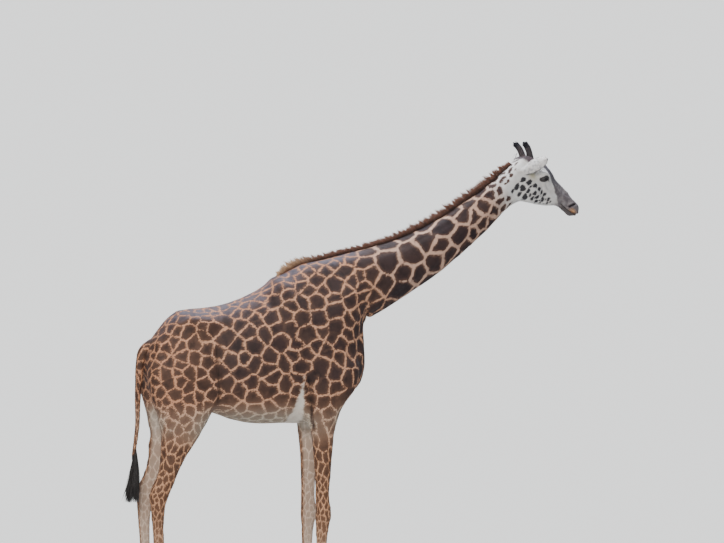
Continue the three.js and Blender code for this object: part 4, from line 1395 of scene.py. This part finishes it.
COAT_PER_AREA = (13000.0, 30000.0, 60000.0)  # locks a square metre: body, feet, head
COAT_PIECES = 5
COAT_RUFFLE = 0.22  # how far locks stray from the way the coat lies
COAT_LENGTH, COAT_LENGTH_FEET = 0.019, 0.014
COAT_LENGTH_HEAD, COAT_LENGTH_NOSE = 0.0105, 0.0055
FRINGE_HEIGHTS, FRINGE_LENGTH = (0.13, 0.19), 0.030  # the longer hair over the hooves


def plant_coat(surface, patches, rng):
    """The short coat, as small locks lying on the skin, in pieces of a size to bake."""
    m = body_places(surface.middles)
    per_body, per_feet, per_head = COAT_PER_AREA
    per_area = drawn(
        np.full(len(surface.areas), per_body),
        (per_feet, 1 - ramp(surface.middles[:, 2], 0.9, 1.3)),
        (per_head, m["head"]),
    )
    per_area *= np.where(m["head"] > 0.5, 1 - 0.55 * ramp(m["s"], 480, 600), 1)
    p, n, uv = surface.scatter(per_area, rng)
    keep = ~in_eye(p)
    p, n, uv = p[keep], n[keep], uv[keep]
    b = body_places(p)
    lie = unit(lie_of(p, b)) + COAT_RUFFLE * rng.standard_normal(p.shape)
    fringe = 1 - ramp(p[:, 2], *FRINGE_HEIGHTS)
    lie += np.outer(fringe, [0, 0, -0.8]) + 0.5 * fringe[:, None] * n
    length = drawn(
        np.full(len(p), COAT_LENGTH),
        (COAT_LENGTH_FEET, 1 - ramp(p[:, 2], 0.8, 1.3)),
        (FRINGE_LENGTH, fringe),
        (COAT_LENGTH_HEAD, b["head"]),
        (COAT_LENGTH_NOSE, b["head"] * ramp(b["s"], 430, 560)),
    )
    length *= 0.75 + 0.5 * rng.random(len(p))
    width = length * (0.20 + 0.10 * rng.random(len(p)))
    q = marking_space(p, n)
    ids = patches.nearest(q)
    marks = {
        "mark": patches.bisectors(q, ids),
        "merge": patches.merges(ids),
        "tone": patches.tone[ids[:, 0]],
    }
    order = np.argsort(p[:, 0], kind="stable")
    for k, part in enumerate(np.array_split(order, COAT_PIECES)):
        name = f"coat_{k + 1}"
        hair = (a[part] for a in (p, n, lie, length, width, uv))
        mesh, per = locks(name, *hair, lift=0.15)
        for key, values in marks.items():
            attribute(mesh, key, np.repeat(values[part], per, 0))
        set_paint(mesh, p[part], n[part], per)
        shade_as(mesh, n[part], per)
        piece(name, mesh, coat, "coat")


MANE_LOCKS, MANE_WIDTH, MANE_ROOT, MANE_LEAN = 9000, 0.0036, 0.006, 0.45
MANE_HEIGHT = [  # by X
    [-0.70, -0.66, -0.61, -0.52, -0.26, 0.014, 0.31, 0.77, 1.04, 1.21, 1.33],
    [0.012, 0.045, 0.075, 0.078, 0.062, 0.056, 0.064, 0.072, 0.074, 0.066, 0.036],
]


def plant_mane(surface, rng):
    """The upright mane, from the poll to the withers."""
    count = MANE_LOCKS
    back, front = MANE_HEIGHT[0][0], MANE_HEIGHT[0][-1]
    x = back + (front - back) * np.sort(rng.random(count))
    sideways = np.clip(rng.standard_normal(count) * 0.42, -1, 1)
    y = MIDDLE + neck_middle(x) + 0.017 * sideways
    roots, outs = np.empty((count, 3)), np.empty((count, 3))
    for i in range(count):
        from_above = surface.tree.ray_cast(Vector((x[i], y[i], 6.0)), Vector((0, 0, -1)))
        roots[i], outs[i] = from_above[:2]
    neck_along = np.array([math.cos(MANE_LEAN), 0.0, math.sin(MANE_LEAN)])
    up = unit(np.array([-neck_along[2], 0, neck_along[0]]) + 0.10 * outs)
    height = np.interp(x, *MANE_HEIGHT) * (0.55 + 0.6 * rng.random(count)) * (1 - 0.3 * sideways**2)
    clump = np.array([noise.noise(Vector((v * 44, 0, 0))) for v in x])
    height *= 1 + 0.55 * clump
    lie = up + np.outer(-0.30 - 0.25 * clump - 0.10 * rng.random(count), neck_along)
    lie[:, 1] += 0.34 * sideways + 0.10 * rng.standard_normal(count)
    out = unit(np.cross(lie, np.array([0.0, 1.0, 0.0])))
    curl = 0.12 * rng.standard_normal(count)
    mesh, per = locks(
        "mane", roots - MANE_ROOT * up, out, lie, height + MANE_ROOT, np.full(count, MANE_WIDTH),
        surface.uv_near(roots), rings=3, thick=0.4, lift=0.12, curl=curl,
    )
    attribute(mesh, "gold", np.repeat(ramp(x, -0.30, -0.62), per))
    attribute(mesh, "lock", np.repeat(rng.random(count), per))
    shade_smooth(mesh)
    piece("mane_hair", mesh, mane_material(), "mane", "mane")


def mane_material():
    """Brown hair, and gold hair over the withers, both paler at the tips."""
    n = Nodes("mane")
    along = n.attribute("along")
    brown = n.mixed(n.range(along, 0.2, 0.9), (0.045, 0.022, 0.018), (0.23, 0.105, 0.072))
    gold = n.mixed(n.range(along, 0.1, 0.8), (0.28, 0.14, 0.075), (0.66, 0.43, 0.27))
    colour = n.mixed(n.attribute("gold"), brown, gold)
    colour = n.mixed(n.times(n.attribute("lock"), 0.45), colour, (0.06, 0.028, 0.018))
    return n.finish(Base_Color=colour, Roughness=0.55, Sheen_Weight=0.1, Specular_IOR_Level=0.3)


TUFT_LOCKS, TUFT_WIDTH = 1500, 0.0055
TUFT_TOP, TUFT_ROOTS, TUFT_END = 1.60, 0.16, 1.095  # its first roots' height, their span, its tip
TUFT_SHORTEST, TUFT_SPREAD = 0.20, 0.26  # its locks' lengths


def plant_tail(surface, rng):
    """The tail's tuft, long dark hair hanging from the last of the stalk."""
    count = TUFT_LOCKS
    z = TUFT_TOP - TUFT_ROOTS * rng.random(count) ** 0.8
    rows = np.array(TAIL)
    x = np.interp(-z, -rows[:, 2], rows[:, 0])
    turn = 2 * math.pi * rng.random(count)
    ring = np.stack([np.cos(turn), np.sin(turn), np.zeros(count)], 1)
    radius = np.interp(-z, -rows[:, 2], rows[:, 3])
    roots = np.stack([x, np.full(count, MIDDLE), z], 1) + ring * radius[:, None] * 0.8
    lie = np.array([-0.10, 0, -1.0]) + ring * (0.16 + 0.05 * rng.standard_normal((count, 1)))
    length = TUFT_SHORTEST + TUFT_SPREAD * rng.random(count) ** 1.4
    length = np.minimum(length, z - TUFT_END)
    curl = 0.05 * rng.standard_normal(count)
    mesh, per = locks(
        "tail_hair", roots, ring, lie, length, np.full(count, TUFT_WIDTH),
        surface.uv_near(roots), rings=6, thick=0.5, lift=-0.22, curl=curl,
    )
    attribute(mesh, "lock", np.repeat(rng.random(count), per))
    shade_smooth(mesh)
    black = hair_material("tail_hair", (0.012, 0.010, 0.010), (0.03, 0.024, 0.022), 0.5)
    piece("tail_hair", mesh, black, "tail_hair", "tail_tuft")


HORN_ROOT = np.array([-20.0, 51.0, 84.0])
HORN_TIP = np.array([-154.0, 72.0, 150.0])
HORN_RADII = [38, 32, 30, 29.5, 29.5, 29, 25, 11]
HORN_ARCH = 18
HORN_SIDES, HORN_RINGS, HORN_LOCKS = 24, 34, 2600
HORN_HAIR_DEPTH, HORN_KNOBS, HORN_THINNEST = 0.004, 0.0022, 0.001
HORN_DARK = {-1: (-0.1, 0.2), 1: (0.25, 0.55)}  # where along each horn the hair turns black


def horn_path(side, count):
    """The middle of a horn: how far along it each place is, and the places."""
    t = np.linspace(-0.12, 1, count)
    a, b = HORN_ROOT * [1, side, 1], HORN_TIP * [1, side, 1]
    path = a + np.outer(t, b - a)
    path[:, 2] += HORN_ARCH * 4 * np.clip(t, 0, 1) * (1 - np.clip(t, 0, 1))
    return t, from_head(path)


def make_horns(surface, rng):
    """Each horn's knobbly core, and the short hair on it, which is longer near the tip."""
    for side, word in SIDES:
        t, path = horn_path(side, HORN_RINGS)
        radii = np.interp(np.clip(t, 0, 1), np.linspace(0, 1, len(HORN_RADII)), HORN_RADII) * MM
        radii *= 1 - 0.95 * np.clip((t - 0.93) / 0.07, 0, 1) ** 2
        radii = np.maximum(radii - HORN_HAIR_DEPTH, HORN_THINNEST)
        points, faces = tube(path, radii, HORN_SIDES)
        knobs = noise_at(points, 45.0) * HORN_KNOBS
        ring_of = np.round((np.arange(len(points)) - 1) / HORN_SIDES).astype(int)
        centre = path[np.clip(ring_of, 0, len(path) - 1)]
        points += unit(points - centre) * knobs[:, None]
        mesh = mesh_of(f"horn_{word}_core", points, faces)
        shade_smooth(mesh)
        piece(f"horn_{word}_core", mesh, horn_skin, "horn", f"horn_{word}")
        count = HORN_LOCKS
        at = rng.random(count) * 1.02
        spot = np.stack([np.interp(at, t, path[:, k]) for k in range(3)], 1)
        axis = unit(np.stack([np.interp(at, t, g) for g in np.gradient(path, axis=0).T], 1))
        ring = unit(np.cross(axis, rng.standard_normal((count, 3))))
        radius = np.interp(at, t, radii)
        roots = spot + ring * radius[:, None] * 0.92
        tipness = ramp(at, 0.72, 0.9)
        out = unit(ring + axis * (0.9 * ramp(at, 0.9, 1.02))[:, None])
        length = 0.009 + 0.013 * tipness * rng.random(count) + 0.004 * rng.random(count)
        lie = axis * (0.9 + 0.3 * tipness)[:, None] + 0.2 * rng.standard_normal((count, 3))
        width = 0.0022 + 0.0012 * rng.random(count)
        hair, per = locks(
            f"horn_{word}_hair", roots, out, lie, length, width,
            surface.uv_near(roots), lift=0.3 + 0.7 * tipness,
        )
        attribute(hair, "lock", np.repeat(rng.random(count), per))
        attribute(hair, "dark", np.repeat(ramp(at, *HORN_DARK[side]), per))
        shade_as(hair, out, per, 0.6)
        piece(f"horn_{word}_hair", hair, horn_hair, "horn")


def horn_hair_material():
    n = Nodes("horn_hair")
    lock = n.attribute("lock")
    pale = n.mixed(lock, (0.30, 0.22, 0.24), (0.12, 0.075, 0.07))
    dark = n.mixed(lock, (0.024, 0.024, 0.034), (0.008, 0.008, 0.011))
    return n.finish(
        Base_Color=n.mixed(n.attribute("dark"), pale, dark), Roughness=0.6, Specular_IOR_Level=0.25
    )


def horn_skin_material():
    n = Nodes("horn_core")
    rough = n.noise(70.0, 4.0)
    return n.finish(
        Base_Color=n.mixed(rough, (0.05, 0.036, 0.038), (0.018, 0.013, 0.014)),
        Roughness=0.7,
        Normal=n.bump(rough, 0.002, 0.7),
    )


horn_hair = horn_hair_material()
horn_skin = horn_skin_material()


BALL_RINGS, BALL_SIDES = 40, 48
CORNEA_RISE, CORNEA_WIDTH = 0.045, 0.5


def eyeball_mesh(side):
    """A ball with the cornea's bulge in front; look is each point's place on the ball."""
    centre, axes = eye_frame(side)
    turn = 2 * math.pi * np.arange(BALL_SIDES) / BALL_SIDES
    points, faces = [], []
    for a in math.pi * np.arange(BALL_RINGS + 1) / BALL_RINGS:
        r = EYE_RADIUS * (1 + CORNEA_RISE * math.exp(-((a / CORNEA_WIDTH) ** 2)))
        across = math.sin(a) * np.stack([np.cos(turn), np.sin(turn)], 1)
        points.append(r * np.column_stack([across, np.full(BALL_SIDES, math.cos(a))]))
    points = np.concatenate(points)
    for i in range(0, BALL_RINGS * BALL_SIDES, BALL_SIDES):
        for j in range(BALL_SIDES):
            k = (j + 1) % BALL_SIDES
            faces.append((i + j, i + BALL_SIDES + j, i + BALL_SIDES + k, i + k))
    mesh = mesh_of("eyeball", points @ axes + centre, faces)
    b = bmesh.new()
    b.from_mesh(mesh)
    layer = b.verts.layers.float_vector.new("look")
    for v, p in zip(b.verts, points / EYE_RADIUS):
        v[layer] = p
    bmesh.ops.remove_doubles(b, verts=b.verts, dist=1e-5)
    bmesh.ops.recalc_face_normals(b, faces=b.faces)
    b.to_mesh(mesh)
    b.free()
    shade_smooth(mesh)
    return mesh


PUPIL = (0.40, 0.20)  # half its length and height, as shares of the ball's radius
PUPIL_POWER = 2.4
IRIS_EDGE = (0.68, 0.76)


def eye_material():
    """A dark brown iris with a long level pupil, wet."""
    n = Nodes("eye")
    across, up, _ = n.split("look")
    wide, tall = (
        n.math("POWER", n.math("ABSOLUTE", n.math("DIVIDE", place, half)), PUPIL_POWER)
        for place, half in zip((across, up), PUPIL)
    )
    pupil = n.range(n.plus(wide, tall), 0.8, 1.2)
    from_axis = n.math("SQRT", n.plus(n.times(across, across), n.times(up, up)))
    rays = n.noise(9.0, 3.0, n.attribute("look", "Vector"))
    iris = n.mixed(rays, (0.055, 0.026, 0.012), (0.018, 0.009, 0.005))
    iris = n.mixed(n.range(from_axis, 0.50, 0.64), iris, (0.008, 0.005, 0.004))
    white = n.mixed(n.range(from_axis, *IRIS_EDGE), iris, (0.09, 0.06, 0.045))
    return n.finish(
        Base_Color=n.mixed(pupil, (0.003, 0.003, 0.004), white),
        Roughness=0.12,
        Coat_Weight=1.0,
        Coat_Roughness=0.03,
        IOR=1.38,
    )


LID_WIDTH = (6.2, 5.0)  # upper and lower, mm
LID_TURNS, LID_ROUND = 72, 10


def on_opening(a, power, above):
    """Where an eye's opening is at the angle a, as along and up; the power is its outline's."""
    c, s = np.cos(a), np.sin(a)
    h = EYE_OPEN[0] * np.sign(c) * abs(c) ** power
    return h, lid_reach(h, above), np.sign(s) * abs(s) ** power


def lid_mesh(side):
    """The lids' bare rims: one ring that hugs the ball around its opening."""
    centre, axes = eye_frame(side)
    ball = EYE_RADIUS / MM
    a = 2 * math.pi * np.arange(LID_TURNS) / LID_TURNS
    h, reach_up, rise = on_opening(a, 2 / EYE_CURVE, np.sin(a) > 0)
    v = reach_up * rise
    flat = np.stack([h, v], 1)
    reach = np.linalg.norm(flat, axis=1)
    outward = unit(flat)
    points, faces = [], []
    for i in range(LID_TURNS):
        wide = LID_WIDTH[0] if v[i] > 0 else LID_WIDTH[1]
        k = (i + 1) % LID_TURNS
        for j in range(LID_ROUND):
            b = 2 * math.pi * j / LID_ROUND
            r = reach[i] + wide * 0.5 + wide * 0.75 * math.cos(b)
            q = outward[i] * min(r, ball * 1.08)
            depth = math.sqrt(max((ball + 1.6) ** 2 - q @ q, 4.0)) + 1.2 + 2.9 * math.sin(b)
            points.append([q[0], q[1], depth])
            m = (j + 1) % LID_ROUND
            near, far = i * LID_ROUND, k * LID_ROUND
            faces.append((near + j, far + j, far + m, near + m))
    mesh = mesh_of(f"lids{side}", np.array(points) * MM @ axes + centre, faces)
    shade_smooth(mesh)
    return mesh


LASHES, LASH_WIDTH, LASH_CURVE = 240, 0.0011, 1.18


def lash_locks(side, rng):
    """Long lashes from the upper lid's rim, and short ones below."""
    centre, axes = eye_frame(side)
    count = LASHES
    a = math.pi * (0.06 + 0.88 * rng.random(count))
    lower = rng.random(count) < 0.25
    a = np.where(lower, -a, a)
    h, reach, rise = on_opening(a, LASH_CURVE, True)
    v = (np.where(lower, EYE_OPEN[2], reach) + 1.5) * rise
    ball = EYE_RADIUS / MM + 3.2
    depth = np.sqrt(np.maximum(ball**2 - h**2 - v**2, 4.0))
    local = np.stack([h, v, depth], 1)
    roots = local * MM @ axes + centre
    out = unit(local) @ axes
    lie = np.stack([h / 30, np.where(lower, -0.5, -0.35), np.full(count, 1.0)], 1) @ axes
    lie += 0.12 * rng.standard_normal((count, 3))
    length = np.where(lower, 0.007, 0.017) * (0.75 + 0.5 * rng.random(count))
    return roots, out, lie, length


def make_eyes(surface, rng):
    ball, rim = eye_material(), lid_material()
    dark = hair_material("lashes", (0.012, 0.01, 0.01), (0.02, 0.016, 0.016))
    for side, word in SIDES:
        piece(f"eyeball_{word}", eyeball_mesh(side), ball, "eye", f"eye_{word}")
        piece(f"lids_{word}", lid_mesh(side), rim, "face")
        roots, out, lie, length = lash_locks(side, rng)
        mesh, per = locks(
            f"lashes_{word}", roots, out, lie, length, np.full(len(roots), LASH_WIDTH),
            surface.uv_near(roots), rings=2, thick=0.5, lift=0.5,
        )
        attribute(mesh, "lock", np.repeat(rng.random(len(roots)), per))
        piece(f"lashes_{word}", mesh, dark, "face")


def lid_material():
    n = Nodes("lids")
    fine = n.noise(220.0, 3.0)
    return n.finish(
        Base_Color=n.mixed(fine, (0.022, 0.018, 0.018), (0.045, 0.036, 0.034)),
        Roughness=0.38,
        Normal=n.bump(fine, 0.0006, 0.7),
    )


HOOF_VOXEL, HOOF_ROUNDS = 0.0052, 16
HOOF_RING, HOOF_RING_DEPTH, HOOF_SOLE = 0.0125, 0.0004, 0.0035


def make_hooves():
    """The horn of each toe, with faint growth rings and a flat sole."""
    material = hoof_material()
    hooves = [
        f"hoof_{end}_{side}_{toe}"
        for end in ("fore", "hind")
        for side in ("right", "left")
        for toe in ("inner", "outer")
    ]
    for name in hooves:
        mesh = remeshed(joined_nodes([name]), HOOF_VOXEL)
        co = smoothed(mesh, places(mesh), HOOF_ROUNDS)
        put_places(mesh, co)
        low = co[:, 2].min()
        n, height = normals(mesh), co[:, 2] - low
        wall = ramp(abs(n[:, 2]), 0.8, 0.4) * ramp(height, 0.004, 0.02)
        lean = height + 0.16 * (co[:, 0] - co[:, 0].mean())
        wave = np.cos(lean * 2 * math.pi / HOOF_RING + 2.2 * noise_at(co, 14.0))
        co = co + n * (wall * (HOOF_RING_DEPTH * wave - 0.0003))[:, None]
        co[co[:, 2] - low < HOOF_SOLE, 2] = low
        put_places(mesh, co)
        shade_smooth(mesh)
        piece(f"{name}_horn", mesh, material, "hoof", name)


def hoof_material():
    n = Nodes("hoof")
    grain = n.grain(4.0, 170.0, 170.0, 22.0)
    rings = n.grain(3.0, 6.0, 6.0, 120.0)
    colour = n.mixed(grain, (0.085, 0.062, 0.048), (0.030, 0.023, 0.020))
    colour = n.mixed(n.range(rings, 0.45, 0.7, 0.0, 0.5), colour, (0.15, 0.115, 0.085))
    height = n.add("ShaderNodeSeparateXYZ", {0: n.where()}).outputs["Z"]
    dust = n.times(n.range(height, 0.05, 0.0), n.range(n.noise(30.0, 4.0), 0.35, 0.65))
    return n.finish(
        Base_Color=n.mixed(n.times(dust, 0.6), colour, (0.30, 0.23, 0.16)),
        Roughness=0.52,
        Normal=n.bump(grain, 0.0008, 0.6, n.bump(rings, 0.001, 0.6)),
    )


unwrap(skin)
surface = Surface(skin.data)
plant_mane(surface, rng)
plant_tail(surface, rng)
make_horns(surface, rng)
make_eyes(surface, rng)
make_hooves()
plant_coat(surface, patches, rng)

# ---------------------------------------------------------------- stage and light

FLOOR_RADIUS = 10
BACKDROP = (1.5, 1.52, 1.52)
DOME_BELOW, DOME_ABOVE = 0.22, 0.70  # the light's strength from below and above
DOME_FROM = -0.5  # the height on the sky's ball below which it stays the same
DOME_COLOUR = (0.84, 0.91, 1)
LIGHT_AIM, LIGHT_POWER = (0, 0, 2.4), 1000


def make_stage():
    """The floor, and a sky that lights the animal more from above but looks evenly pale."""
    mesh = bpy.data.meshes.new("floor")
    b = bmesh.new()
    bmesh.ops.create_circle(b, cap_ends=True, segments=96, radius=FLOOR_RADIUS)
    b.to_mesh(mesh)
    b.free()
    floor = new_object("floor", mesh)
    n = Nodes("floor")
    floor.data.materials.append(n.finish(Base_Color=(0.72, 0.72, 0.7), Roughness=0.9))
    world = bpy.data.worlds.new("world")
    world.use_nodes = True
    tree = world.node_tree
    pale = tree.nodes["Background"]
    pale.inputs["Color"].default_value = (*BACKDROP, 1)
    dome = tree.nodes.new("ShaderNodeBackground")
    up = tree.nodes.new("ShaderNodeSeparateXYZ")
    tree.links.new(tree.nodes.new("ShaderNodeTexCoord").outputs["Generated"], up.inputs[0])
    shade = tree.nodes.new("ShaderNodeMapRange")
    tree.links.new(up.outputs["Z"], shade.inputs["Value"])
    shade.inputs["From Min"].default_value = DOME_FROM
    shade.inputs["To Min"].default_value = DOME_BELOW
    shade.inputs["To Max"].default_value = DOME_ABOVE
    tree.links.new(shade.outputs["Result"], dome.inputs["Strength"])
    dome.inputs["Color"].default_value = (*DOME_COLOUR, 1)
    seen = tree.nodes.new("ShaderNodeLightPath").outputs["Is Camera Ray"]
    both = tree.nodes.new("ShaderNodeMixShader")
    tree.links.new(seen, both.inputs[0])
    tree.links.new(dome.outputs[0], both.inputs[1])
    tree.links.new(pale.outputs[0], both.inputs[2])
    tree.links.new(both.outputs[0], tree.nodes["World Output"].inputs["Surface"])
    bpy.context.scene.world = world


def area_light(name, place, size, colour):
    lamp = bpy.data.lights.new(name, "AREA")
    lamp.energy, lamp.size, lamp.color = LIGHT_POWER, size, colour
    o = bpy.data.objects.new(name, lamp)
    o.location = place
    o.rotation_euler = (Vector(place) - Vector(LIGHT_AIM)).to_track_quat("Z", "Y").to_euler()
    bpy.context.scene.collection.objects.link(o)


make_stage()
area_light("top", (0.5, 0.5, 9.0), 6.0, (0.88, 0.93, 1))
area_light("key", (-5.5, -9.5, 6.5), 3.0, (1, 0.97, 0.92))
